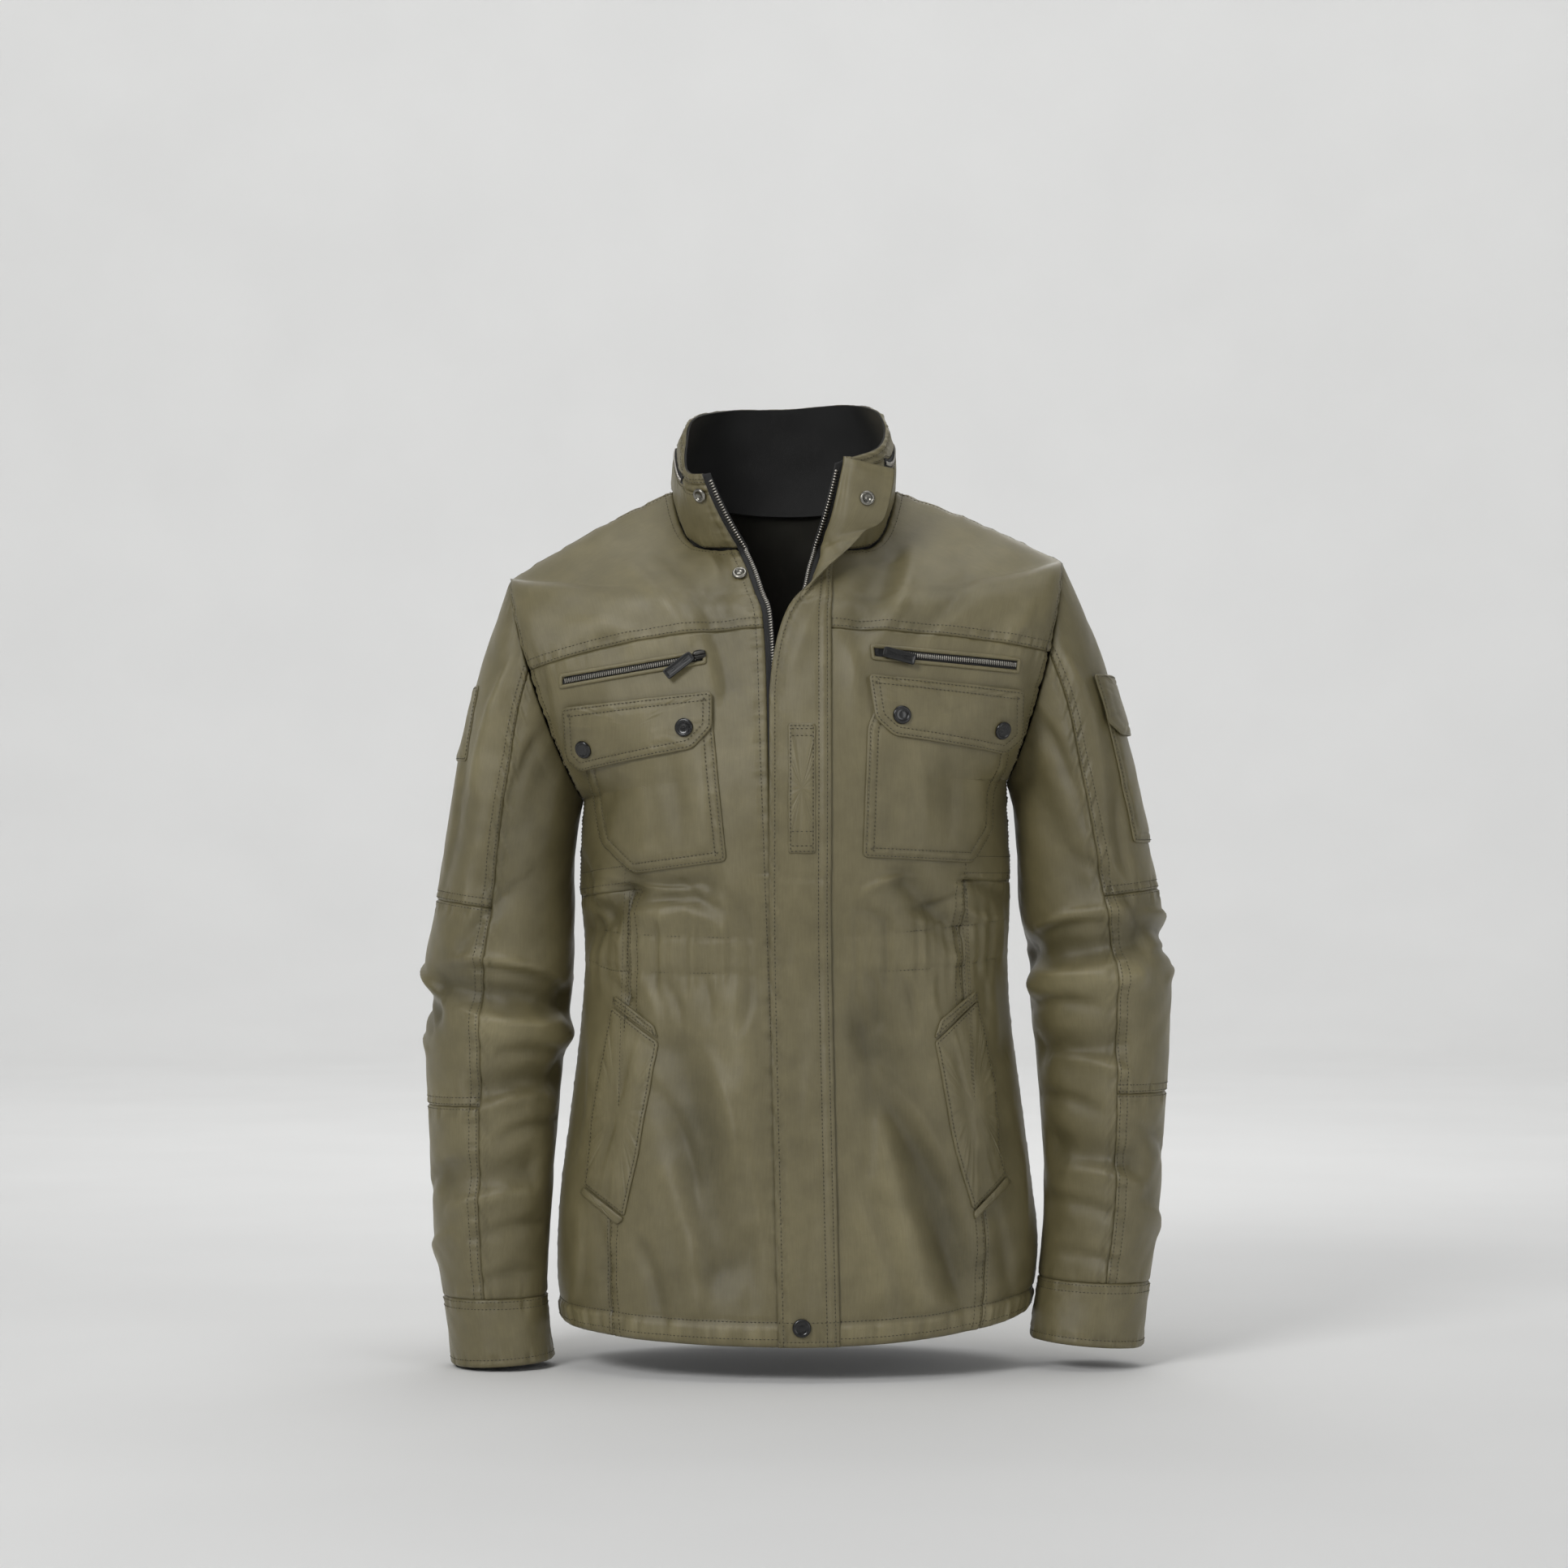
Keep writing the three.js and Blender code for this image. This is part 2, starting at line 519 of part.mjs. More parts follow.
/** Where a front or back panel ends: shoulder seam, then armhole, then side seam. */
function edgePoint(side, face, row) {
  const { sign, neck, tip } = side;
  const under = { x: read(side.side, "x", UNDERARM_ROW), z: read(side.side, "z", UNDERARM_ROW) };
  if (row <= TIP_ROW) {
    const t = row / TIP_ROW;
    const hump = SHOULDER_ROUND * Math.sin(Math.PI * t);
    return new THREE.Vector3(
      sign * (neck.x + (tip.x - neck.x) * t),
      neck.y + (tip.y - neck.y) * t,
      neck.z + (tip.z - neck.z) * t + hump,
    );
  }
  if (row <= UNDERARM_ROW) {
    const t = (row - TIP_ROW) / (UNDERARM_ROW - TIP_ROW);
    const fall = (1 - Math.cos(Math.PI * t)) / 2;
    const inwards = (1 + Math.cos(Math.PI * t ** ARMHOLE_LEAN)) / 2;
    return new THREE.Vector3(
      sign * (under.x + (tip.x - under.x) * inwards),
      tip.y * (1 - t) + face.armholeDepth * Math.sin(Math.PI * t),
      tip.z + (under.z - tip.z) * fall,
    );
  }
  return new THREE.Vector3(sign * read(side.side, "x", row), 0, read(side.side, "z", row));
}

/** A point of the front or back: `across` runs -1 to 1 from seam to seam, as an angle does. */
function torsoPoint(face, across, row) {
  const edge = edgePoint(across < 0 ? RIGHT : LEFT, face, row);
  const middle = Object.fromEntries(
    ["x", "y", "z", "square", "lift"].map((column) => [column, read(face.centre, column, row)]),
  );
  const s = Math.sin((Math.abs(across) * Math.PI) / 2);
  const round = Math.sqrt(1 - s ** middle.square);
  const rollOver = Math.sin(Math.PI * Math.min(1, (1 - s) / ROLL_SHARE));
  const roll = face.ridge * rollOver * THREE.MathUtils.clamp((YOKE_ROW - row) / (YOKE_ROW - TIP_ROW), 0, 1);
  return new THREE.Vector3(
    middle.x + (edge.x - middle.x) * s,
    edge.y + (middle.y - edge.y) * round,
    middle.z + (edge.z - middle.z) * s ** middle.lift + roll,
  );
}

/** The `across` value at which a torso row has a given x. */
function acrossAt(face, x, row) {
  const middle = read(face.centre, "x", row);
  const edge = edgePoint(x < middle ? RIGHT : LEFT, face, row);
  return (Math.sign(x - middle) * 2 * Math.asin(Math.min(1, (x - middle) / (edge.x - middle)))) / Math.PI;
}

/** The `across` value of a column of a front: the zip line, the tape's edge, the side panel's seam, the side. */
function frontAcross(side, row, column) {
  const zip = read(side.zip, "x", row) + (side.sign * SEAM_GAP) / 2;
  const zipAcross = acrossAt(FRONT, zip, row);
  const tapeAcross = acrossAt(FRONT, zip + side.sign * TAPE_WIDTH, row);
  const seam = side.sign * SEAM_ACROSS;
  if (column === 0) return zipAcross;
  if (column <= SEAM_COLUMN) return THREE.MathUtils.mapLinear(column, 1, SEAM_COLUMN, tapeAcross, seam);
  return THREE.MathUtils.mapLinear(column, SEAM_COLUMN, FRONT_COLUMNS, seam, side.sign);
}

const onSidePanel = (i, j) => j >= SEAM_COLUMN && i >= SIDE_PANEL_ROW;
const fromBodyAxis = ({ x, y }) => new THREE.Vector3(x, y, 0);

function frontGrid(side) {
  const pointAt = (i, j) => torsoPoint(FRONT, frontAcross(side, i, j), i);
  return new ClothGrid(HEM_ROW, FRONT_COLUMNS, pointAt, fromBodyAxis);
}
const fronts = { right: frontGrid(RIGHT), left: frontGrid(LEFT) };
const backAcross = (j) => (2 * j) / BACK_COLUMNS - 1;
const back = new ClothGrid(HEM_ROW, BACK_COLUMNS, (i, j) => torsoPoint(BACK, backAcross(j), i), fromBodyAxis);

// The folds die out towards the seams of each panel.
const fadeAt = (j, last) => Math.min(1, Math.min(j, last - j) / FOLD_FADE);
for (const grid of [fronts.right, fronts.left])
  grid.fold(({ x, z }, i, j) => foldHeight(FRONT_FOLDS, x, z) * fadeAt(j, FRONT_COLUMNS));
back.fold(({ x, z }, i, j) => foldHeight(BACK_FOLDS, x, z) * fadeAt(j, BACK_COLUMNS));
for (let i = 1; i <= HEM_ROW; i += 1) {
  if (i >= TIP_ROW && i <= UNDERARM_ROW) continue;
  weld([fronts.right, i, FRONT_COLUMNS], [back, i, 0]);
  weld([fronts.left, i, FRONT_COLUMNS], [back, i, BACK_COLUMNS]);
}

/** A set-in sleeve. Column 0 is at the underarm, 5.5 at the front of the arm and 11 on the outside. */
function sleeveGrid(side, rings, front, folds) {
  const backEdge = side === RIGHT ? 0 : BACK_COLUMNS;
  const half = RING_COLUMNS / 2;
  const loopStop = (j) =>
    j <= half ? [front, UNDERARM_ROW - j, FRONT_COLUMNS] : [back, TIP_ROW + j - half, backEdge];
  const ringPoint = (i, j) => {
    const [outX, outZ, inX, inZ, y, depth] = ["outX", "outZ", "inX", "inZ", "y", "depth"].map((column) =>
      read(rings, column, i),
    );
    const turn = (Math.PI * j) / half;
    const across = (1 - Math.cos(turn)) / 2;
    return new THREE.Vector3(
      side.sign * (inX + (outX - inX) * across),
      y - depth * Math.sin(turn),
      inZ + (outZ - inZ) * across,
    );
  };
  const grid = new ClothGrid(
    SLEEVE_ROWS,
    RING_COLUMNS,
    (i, j) => {
      const [panel, row, column] = loopStop(j);
      const left = Math.max(0, 1 - i / SLEEVE_BLEND);
      const offset = panel.points[row][column].clone().sub(ringPoint(0, j));
      return ringPoint(i, j).addScaledVector(offset, left * left * (3 - 2 * left));
    },
    (point, i) => point.clone().sub(ringPoint(i, 0).add(ringPoint(i, half)).multiplyScalar(0.5)),
    true,
  );
  grid.fold(({ z }, i, j) => (i > 0 ? foldHeight(folds, j, z, SLEEVE_COLUMN_WIDTH) : 0));
  for (let j = 0; j < RING_COLUMNS; j += 1) {
    const stops = [[grid, 0, j], loopStop(j)];
    if (j === 0) stops.push([back, UNDERARM_ROW, backEdge]);
    if (j === half) stops.push([back, TIP_ROW, backEdge]);
    weld(...stops);
  }
  return grid;
}
const sleeves = {
  right: sleeveGrid(RIGHT, SLEEVE_RIGHT, fronts.right, SLEEVE_RIGHT_FOLDS),
  left: sleeveGrid(LEFT, SLEEVE_LEFT, fronts.left, SLEEVE_LEFT_FOLDS),
};

for (const [name, grid] of Object.entries(sleeves)) {
  const onOutside = (j) => j >= FRONT_SEAM_COLUMN && j < BACK_SEAM_COLUMN;
  const outsidePiece = (from, to) => clothPiece(grid, (i, j) => onOutside(j) && i >= from && i < to);
  addPiece(`sleeve_under_${name}`, "cloth", clothPiece(grid, (i, j) => !onOutside(j) && i < CUFF_ROW));
  addPiece(`sleeve_upper_${name}`, "cloth", outsidePiece(0, ELBOW_ROW));
  addPiece(`sleeve_elbow_${name}`, "cloth", outsidePiece(ELBOW_ROW, FOREARM_ROW));
  addPiece(`sleeve_lower_${name}`, "cloth", outsidePiece(FOREARM_ROW, CUFF_ROW));
  addPiece(`cuff_${name}`, "cloth", clothPiece(grid, (i) => i >= CUFF_ROW));
}

// The collar's grid hangs from its top edge down to the neckline, from the right front end to the left.
const COLLAR_COLUMNS = 2 * FRONT_COLUMNS + BACK_COLUMNS;
function neckStops(j) {
  if (j < FRONT_COLUMNS) return [[fronts.right, 0, j]];
  if (j > COLLAR_COLUMNS - FRONT_COLUMNS) return [[fronts.left, 0, COLLAR_COLUMNS - j]];
  const stops = [[back, 0, j - FRONT_COLUMNS]];
  if (j === FRONT_COLUMNS) stops.push([fronts.right, 0, j]);
  if (j === COLLAR_COLUMNS - FRONT_COLUMNS) stops.push([fronts.left, 0, FRONT_COLUMNS]);
  return stops;
}
/** Height of the hood zip's middle on the collar: half way up behind, rising to its two front ends. */
function hoodZipHeight(j) {
  const fromBack = Math.abs(j - COLLAR_COLUMNS / 2) / (HOOD_ZIP_COLUMNS[1] - COLLAR_COLUMNS / 2);
  return 0.5 + HOOD_ZIP_RISE * Math.min(1, fromBack) ** 4;
}
function collarPoint(i, j) {
  const zip = hoodZipHeight(j);
  const [high, low] = [zip + HOOD_ZIP_HEIGHT / 2, zip - HOOD_ZIP_HEIGHT / 2];
  const height = [1, (1 + high) / 2, high, low, low / 2, 0][i];
  const [neckGrid, row, column] = neckStops(j)[0];
  const foot = neckGrid.points[row][column];
  const top = new THREE.Vector3(...["x", "y", "z"].map((name) => read(COLLAR_TOP, name, j)));
  const outwards = fromBodyAxis(foot).normalize();
  return foot.clone().lerp(top, height).addScaledVector(outwards, COLLAR_BULGE * 4 * height * (1 - height));
}
const collar = new ClothGrid(COLLAR_ROWS, COLLAR_COLUMNS, collarPoint, fromBodyAxis);
for (let j = 0; j <= COLLAR_COLUMNS; j += 1) weld([collar, COLLAR_ROWS, j], ...neckStops(j));

const onHoodZip = (i, j) => i === HOOD_ZIP_ROW && j >= HOOD_ZIP_COLUMNS[0] && j < HOOD_ZIP_COLUMNS[1];
const onCollarCloth = (i, j) => j > 0 && j < COLLAR_COLUMNS - 1;
addPiece(
  "collar",
  "cloth",
  clothPiece(collar, (i, j) => onCollarCloth(i, j) && !onHoodZip(i, j), { wall: COLLAR_WALL }),
);
addPiece("hood_zip", "zip_tape", clothPiece(collar, onHoodZip, { out: -HOOD_ZIP_DEPTH, wall: TAPE_WALL }));
addPiece(
  "collar_facing",
  "facing",
  clothPiece(collar, onCollarCloth, { out: -COLLAR_WALL - LAY_GAP, wall: FACING_WALL }),
);

for (const [name, grid] of Object.entries(fronts)) {
  addPiece(`yoke_${name}`, "cloth", clothPiece(grid, (i, j) => j > 0 && i < YOKE_ROW));
  const onFrontPanel = (i, j) => j > 0 && i >= YOKE_ROW && !onSidePanel(i, j);
  addPiece(`front_${name}`, "cloth", clothPiece(grid, onFrontPanel));
  addPiece(`side_${name}`, "cloth", clothPiece(grid, onSidePanel));
}
addPiece("back_yoke", "cloth", clothPiece(back, (i) => i < YOKE_ROW));
addPiece("back", "cloth", clothPiece(back, (i) => i >= YOKE_ROW));

/** The front zip's tape: the column next to the opening, down the collar and then the front. */
function tapeGrid(front, collarColumns) {
  const stopAt = (i, j) =>
    i <= COLLAR_ROWS ? [collar, i, collarColumns[j]] : [front, i - COLLAR_ROWS, j];
  const take = (list) => (i, j) => {
    const [grid, row, column] = stopAt(i, j);
    return grid[list][row][column].clone();
  };
  const strip = new ClothGrid(COLLAR_ROWS + HEM_ROW, 1, take("points"), fromBodyAxis);
  strip.normals = strip.normals.map((line, i) => line.map((_, j) => take("normals")(i, j)));
  return strip;
}
const tapes = {
  right: tapeGrid(fronts.right, [0, 1]),
  left: tapeGrid(fronts.left, [COLLAR_COLUMNS, COLLAR_COLUMNS - 1]),
};
for (const [name, grid] of Object.entries(tapes))
  addPiece(`zip_tape_${name}`, "zip_tape", clothPiece(grid, () => true, { out: -TAPE_DEPTH, wall: TAPE_WALL }));

// The storm flap is sewn down the left front, and its upper end is turned back over the collar and chest.
const flapSeamRow = (i) => i - STORM_FLAP_ON_COLLAR.length;
const onFront = (x, row) => torsoPoint(FRONT, acrossAt(FRONT, x, row), row);
const backOf = (columns) => new THREE.Vector3(columns.backX, columns.backY, columns.backZ);

/** A point of the flap where it lies flat, `t` of its width from the sewn line, and its edge's way back. */
function flatFlap(i, t) {
  const row = flapSeamRow(i);
  if (row < 0) {
    const columns = STORM_FLAP_ON_COLLAR[i];
    const before = Math.floor(STORM_FLAP_COLLAR_COLUMN);
    const line = collar.points[columns.row];
    const foot = line[before].clone().lerp(line[before + 1], STORM_FLAP_COLLAR_COLUMN - before);
    const along = line[COLLAR_COLUMNS].clone().sub(foot).setZ(0).setLength(STORM_FLAP_WIDTH * t);
    return { point: foot.add(along), normal: collar.normals[columns.row][before], back: backOf(columns) };
  }
  const x = read(STORM_FLAP, "x", row) - STORM_FLAP_WIDTH * t;
  const point = onFront(x, row);
  const down = onFront(x, Math.min(row + 0.5, HEM_ROW)).sub(onFront(x, Math.max(row - 0.5, 0)));
  const normal = onFront(x - 1, row).sub(point).cross(down).normalize();
  const [backX, backY, backZ] = ["backX", "backY", "backZ"].map((column) => read(STORM_FLAP, column, row));
  return { point, normal, back: backOf({ backX: Math.max(0, backX), backY, backZ }) };
}
function flapPoint(i, j) {
  const t = j / STORM_FLAP_COLUMNS;
  const { point, normal, back } = flatFlap(i, t);
  const rise = (STORM_FLAP_RISE * 4 * t * (1 - t) * back.x) / STORM_FLAP_ON_COLLAR[0].backX;
  point.addScaledVector(normal, STORM_FLAP_SEAT).addScaledVector(back, t * t);
  return point.add(new THREE.Vector3(0, -rise, 0));
}
const flap = new ClothGrid(
  STORM_FLAP_ON_COLLAR.length + HEM_ROW,
  STORM_FLAP_COLUMNS,
  flapPoint,
  (point, i) => new THREE.Vector3(0, flapSeamRow(i) > UNDERARM_ROW ? -1 : 0, 0),
);
addPiece("storm_flap", "cloth", clothPiece(flap, () => true, { out: FLAP_WALL / 2, wall: FLAP_WALL }));
addPiece(
  "storm_flap_tab",
  "cloth",
  laidPiece(flap, [FLAP_TAB], { out: FLAP_WALL / 2 + LAY_GAP, wall: THIN_WALL }),
);

/** The place on a grid that a point of its view falls on, moved out along the cloth's normal. */
function seatOn(grid, [x, z], out) {
  const view = faceOnView(grid);
  for (let i = 0; i < grid.rows; i += 1) {
    for (let j = 0; j < grid.columns; j += 1) {
      const [a, b, c, d] = grid.corners(i, j);
      for (const triangle of [[a, b, c], [a, c, d]]) {
        const flat = triangle.map(([r, col]) => new THREE.Vector3(...view(r, col), 0));
        const shares = THREE.Triangle.getBarycoord(new THREE.Vector3(x, z, 0), ...flat, new THREE.Vector3());
        if (!shares || Math.min(...shares.toArray()) < 0) continue;
        const blend = (list) =>
          triangle.reduce(
            (sum, [r, col], k) => sum.addScaledVector(list[r][col], shares.getComponent(k)),
            new THREE.Vector3(),
          );
        const normal = blend(grid.normals).normalize();
        return { point: blend(grid.points).addScaledVector(normal, out), normal };
      }
    }
  }
  throw new Error(`nothing lies at ${x}, ${z}`);
}

/** Places a mesh so that its own +Z is the normal and its own +X lies along `along`. */
function seatMesh(mesh, { point, normal }, along = new THREE.Vector3(1, 0, 0)) {
  const x = along.clone().addScaledVector(normal, -along.dot(normal)).normalize();
  const basis = new THREE.Matrix4().makeBasis(x, normal.clone().cross(x), normal);
  mesh.quaternion.setFromRotationMatrix(basis);
  mesh.position.copy(point);
}

/** A domed snap cap, or with a hollow a stud's open ring, turned about its own +Z. */
function snapGeometry({ radius, height }, hollow = 0) {
  const profile = [
    [0, 0],
    [radius, 0],
    [radius, height * 0.45],
    [radius * 0.8, height],
    [radius * 0.4, height - hollow],
    [0, height - hollow],
  ];
  return new THREE.LatheGeometry(profile.map(([r, z]) => new THREE.Vector2(r, z)), 12).rotateX(Math.PI / 2);
}

/** A slab with its outline rounded, lying from y = 0 to `length` and standing up from z = 0. */
function slab({ width, length, height, corner = 1.5 }) {
  const outline = new THREE.Shape();
  const [w, l, r] = [width / 2, length, corner];
  outline.moveTo(-w + r, 0).lineTo(w - r, 0).absarc(w - r, r, r, -Math.PI / 2, 0);
  outline.lineTo(w, l - r).absarc(w - r, l - r, r, 0, Math.PI / 2);
  outline.lineTo(-w + r, l).absarc(-w + r, l - r, r, Math.PI / 2, Math.PI);
  outline.lineTo(-w, r).absarc(-w + r, r, r, Math.PI, 1.5 * Math.PI);
  return new THREE.ExtrudeGeometry(outline, { depth: height, bevelEnabled: false, curveSegments: 3 });
}

const between = ([ax, az], [bx, bz], t) => [ax + (bx - ax) * t, az + (bz - az) * t];

for (const [name, grid] of Object.entries(fronts)) {
  const trim = FRONT_TRIM[name];
  const onPocket = LAY_GAP + PATCH_WALL + LAY_GAP;
  addPiece(`chest_pocket_${name}`, "cloth", laidPiece(grid, [trim.pocket]));
  addPiece(`chest_flap_${name}`, "cloth", laidPiece(grid, [trim.flap], { out: onPocket, wall: FLAP_WALL }));
  trim.flapSnaps.forEach((place, k) => {
    const snap = addPiece(`flap_snap_${name}_${k + 1}`, "snap_cap", snapGeometry(SNAP_CAP));
    seatMesh(snap, seatOn(grid, place, onPocket + FLAP_WALL + SNAP_GAP));
  });

  // The chest zip: a sewn frame with the teeth's strip in its opening.
  const [a, b, c, d] = trim.zipFrame;
  const ends = ZIP_FRAME_BORDER.end / Math.hypot(b[0] - a[0], b[1] - a[1]);
  const edges = ZIP_FRAME_BORDER.edge / Math.hypot(d[0] - a[0], d[1] - a[1]);
  const inFrame = (s, t) => between(between(a, b, s), between(d, c, s), t);
  const opening = (e, f) => [inFrame(e, f), inFrame(1 - e, f), inFrame(1 - e, 1 - f), inFrame(e, 1 - f)];
  const [oa, ob, oc, od] = opening(ends, edges);
  const borders = [[a, b, ob, oa], [b, c, oc, ob], [c, d, od, oc], [d, a, oa, od]];
  addPiece(`chest_zip_frame_${name}`, "cloth", laidPiece(grid, borders, { wall: ZIP_FRAME_BORDER.wall }));
  addPiece(
    `chest_zip_${name}`,
    "zip_tape",
    laidPiece(grid, [opening(ends + ZIP_STRIP.endGap, edges + ZIP_STRIP.edgeGap)], { wall: ZIP_STRIP.wall }),
  );
  const pull = new THREE.Vector3(trim.slider.pull[0], 0, trim.slider.pull[1]).normalize();
  const seat = seatOn(grid, trim.slider.seat, LAY_GAP + ZIP_FRAME_BORDER.wall + SNAP_GAP);
  const zipLine = new THREE.Vector3(a[0] - b[0], 0, a[1] - b[1]).multiplyScalar(-Math.sign(pull.x * a[0]));
  const slider = addPiece(`chest_slider_${name}`, "zip_metal", slab(SLIDER));
  seatMesh(slider, seat, seat.normal.clone().cross(zipLine).negate());
  const tab = addPiece(`pull_tab_${name}`, "pull_tab", slab(PULL_TAB));
  const hinge = { normal: seat.normal, point: seat.point.clone().addScaledVector(seat.normal, PULL_TAB_RISE) };
  seatMesh(tab, hinge, seat.normal.clone().cross(pull).negate());

  addPiece(`welt_${name}`, "cloth", laidPiece(grid, [trim.welt]));
  addPiece(`welt_top_${name}`, "cloth", laidPiece(grid, [trim.weltTop], { wall: BAND_WALL }));
  addPiece(`welt_bottom_${name}`, "cloth", laidPiece(grid, [trim.weltBottom], { wall: BAND_WALL }));
}

// Sleeve pocket on the left upper sleeve, and the bare badge on the right one.
function sleevePatch(grid, outline, options) {
  return laidPiece(grid, [outline], { view: (i, j) => [j, grid.points[i][j].z], ...options });
}
addPiece("sleeve_pocket", "cloth", sleevePatch(sleeves.left, SLEEVE_POCKET));
addPiece(
  "sleeve_pocket_flap",
  "cloth",
  sleevePatch(sleeves.left, SLEEVE_POCKET_FLAP, { out: 2 * LAY_GAP + PATCH_WALL }),
);
addPiece("sleeve_badge", "cloth", sleevePatch(sleeves.right, SLEEVE_BADGE, { wall: THIN_WALL }));

const hemSnap = addPiece("hem_snap", "snap_cap", snapGeometry(SNAP_CAP));
seatMesh(hemSnap, seatOn(flap, HEM_SNAP, FLAP_WALL / 2 + SNAP_GAP));
const placketSnap = addPiece("placket_snap", "snap_ring", snapGeometry(SNAP_STUD, 0.8));
seatMesh(placketSnap, seatOn(fronts.right, PLACKET_SNAP, SNAP_GAP));
const collarSnap = addPiece("collar_snap", "snap_ring", snapGeometry(SNAP_STUD, 0.8));
seatMesh(collarSnap, seatOn(collar, COLLAR_SNAP, SNAP_GAP));
const flapInside = seatOn(flap, STORM_FLAP_SNAP, -FLAP_WALL / 2 - 2 * SNAP_GAP);
flapInside.normal.negate();
const flapSnap = addPiece("storm_flap_snap", "snap_ring", snapGeometry(SNAP_STUD, 1));
seatMesh(flapSnap, flapInside);

export default jacket;
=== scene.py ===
# %% [markdown]
# A field jacket is a set of flat panels, cut from twill and sewn into a hollow form that hangs from
# two shoulder seams. We start with the fixed frame, which holds every sewn piece as a plain solid of
# its real size, and then give each piece its cloth: a fine surface worked out with numpy from the
# same few sizes, with folds, seams, thread, zips and snaps laid on it.

# %% Load the frame
import json
import math

import bpy
import numpy as np
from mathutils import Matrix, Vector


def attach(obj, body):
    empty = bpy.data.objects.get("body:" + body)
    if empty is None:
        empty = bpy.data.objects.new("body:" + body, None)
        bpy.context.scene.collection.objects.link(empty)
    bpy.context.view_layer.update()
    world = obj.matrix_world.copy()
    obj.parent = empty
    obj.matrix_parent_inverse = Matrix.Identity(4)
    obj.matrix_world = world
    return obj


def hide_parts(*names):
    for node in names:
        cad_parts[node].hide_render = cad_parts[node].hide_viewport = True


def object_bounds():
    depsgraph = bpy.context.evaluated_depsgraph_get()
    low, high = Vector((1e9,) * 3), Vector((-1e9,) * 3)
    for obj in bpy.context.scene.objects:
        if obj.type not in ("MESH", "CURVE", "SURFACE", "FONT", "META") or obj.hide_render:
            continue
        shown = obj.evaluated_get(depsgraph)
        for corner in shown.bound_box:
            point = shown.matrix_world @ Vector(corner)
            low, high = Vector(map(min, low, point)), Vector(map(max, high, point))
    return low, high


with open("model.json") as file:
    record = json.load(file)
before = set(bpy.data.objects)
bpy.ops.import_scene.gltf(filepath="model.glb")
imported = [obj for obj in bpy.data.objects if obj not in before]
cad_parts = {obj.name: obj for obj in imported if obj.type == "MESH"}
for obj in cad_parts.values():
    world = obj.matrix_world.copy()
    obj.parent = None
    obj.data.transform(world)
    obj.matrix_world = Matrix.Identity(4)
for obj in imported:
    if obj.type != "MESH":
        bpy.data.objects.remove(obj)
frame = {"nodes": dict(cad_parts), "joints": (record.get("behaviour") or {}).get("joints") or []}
cad_box = [list(map(float, corner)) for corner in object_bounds()]
print("frame:", len(frame["nodes"]), "nodes, box", cad_box)

# %% [markdown]
# The camera stands level at chest height, a little over three metres away, as for a catalogue picture.
# A long lens keeps the proportions plain. A small upward shift frames the jacket without tilting the
# camera, so its upright seams stay upright.

# %% Camera
CAMERA_PLACE, LENS, SHIFT = (0.0, -3.2, -0.306), 87.6, (-0.001, 0.0435)
camera_data = bpy.data.cameras.new("catalogue_camera")
camera_data.lens = LENS
camera_data.shift_x, camera_data.shift_y = SHIFT
camera = bpy.data.objects.new("catalogue_camera", camera_data)
camera.location = CAMERA_PLACE
camera.rotation_euler = (math.pi / 2, 0, 0)
bpy.context.collection.objects.link(camera)
bpy.context.scene.camera = camera
print("camera at", tuple(camera.location), "lens", camera_data.lens)

# %% [markdown]
# A pattern maker keeps sizes in tables, a row for each section down the body. We do the same, in
# millimetres: `read` draws a smooth curve through one column, so a size is known at every height.

# %% Tables of sizes
class Table:
    """Rows of named columns. `read` is a cubic curve through one column, with slopes from the rows beside."""

    def __init__(self, names, rows):
        self.columns = dict(zip(names.split(), np.array(rows, float).T))

    def read(self, name, at):
        knots, values = self.columns["at"], self.columns[name]
        at = np.clip(np.asarray(at, float), knots[0], knots[-1])
        number, last = np.arange(len(knots)), len(knots) - 1
        before, after = np.maximum(number - 1, 0), np.minimum(number + 1, last)
        slope = (values[after] - values[before]) / (knots[after] - knots[before])
        i = np.clip(np.searchsorted(knots, at, "right") - 1, 0, last - 1)
        span = knots[i + 1] - knots[i]
        t = (at - knots[i]) / span
        rise = t * t * (3 - 2 * t)
        ends = values[i] * (1 - rise) + values[i + 1] * rise
        return ends + span * t * (1 - t) * ((1 - t) * slope[i] - t * slope[i + 1])


# The rows of the body: the shoulder's tip, the yoke's seam, the underarm, the side panel's top and the hem.
TIP_ROW, YOKE_ROW, UNDERARM_ROW, SIDE_ROW, HEM_ROW = 6, 11, 17, 20, 33
FRONT_COLUMNS, SEAM_COLUMN, SEAM_ACROSS = 9, 5, 0.56
TAPE_WIDTH, SEAM_GAP = 8, 0.36
BACK_COLUMNS, HALF_RING = 16, 11
CLOTH, COLLAR_CLOTH, FLAP_CLOTH, PATCH_CLOTH, FACING_CLOTH, TAPE_CLOTH = 3.0, 2.2, 2.4, 2.0, 1.5, 1.2  # walls
COLUMN_WIDTH = 19  # of one ring column on a sleeve

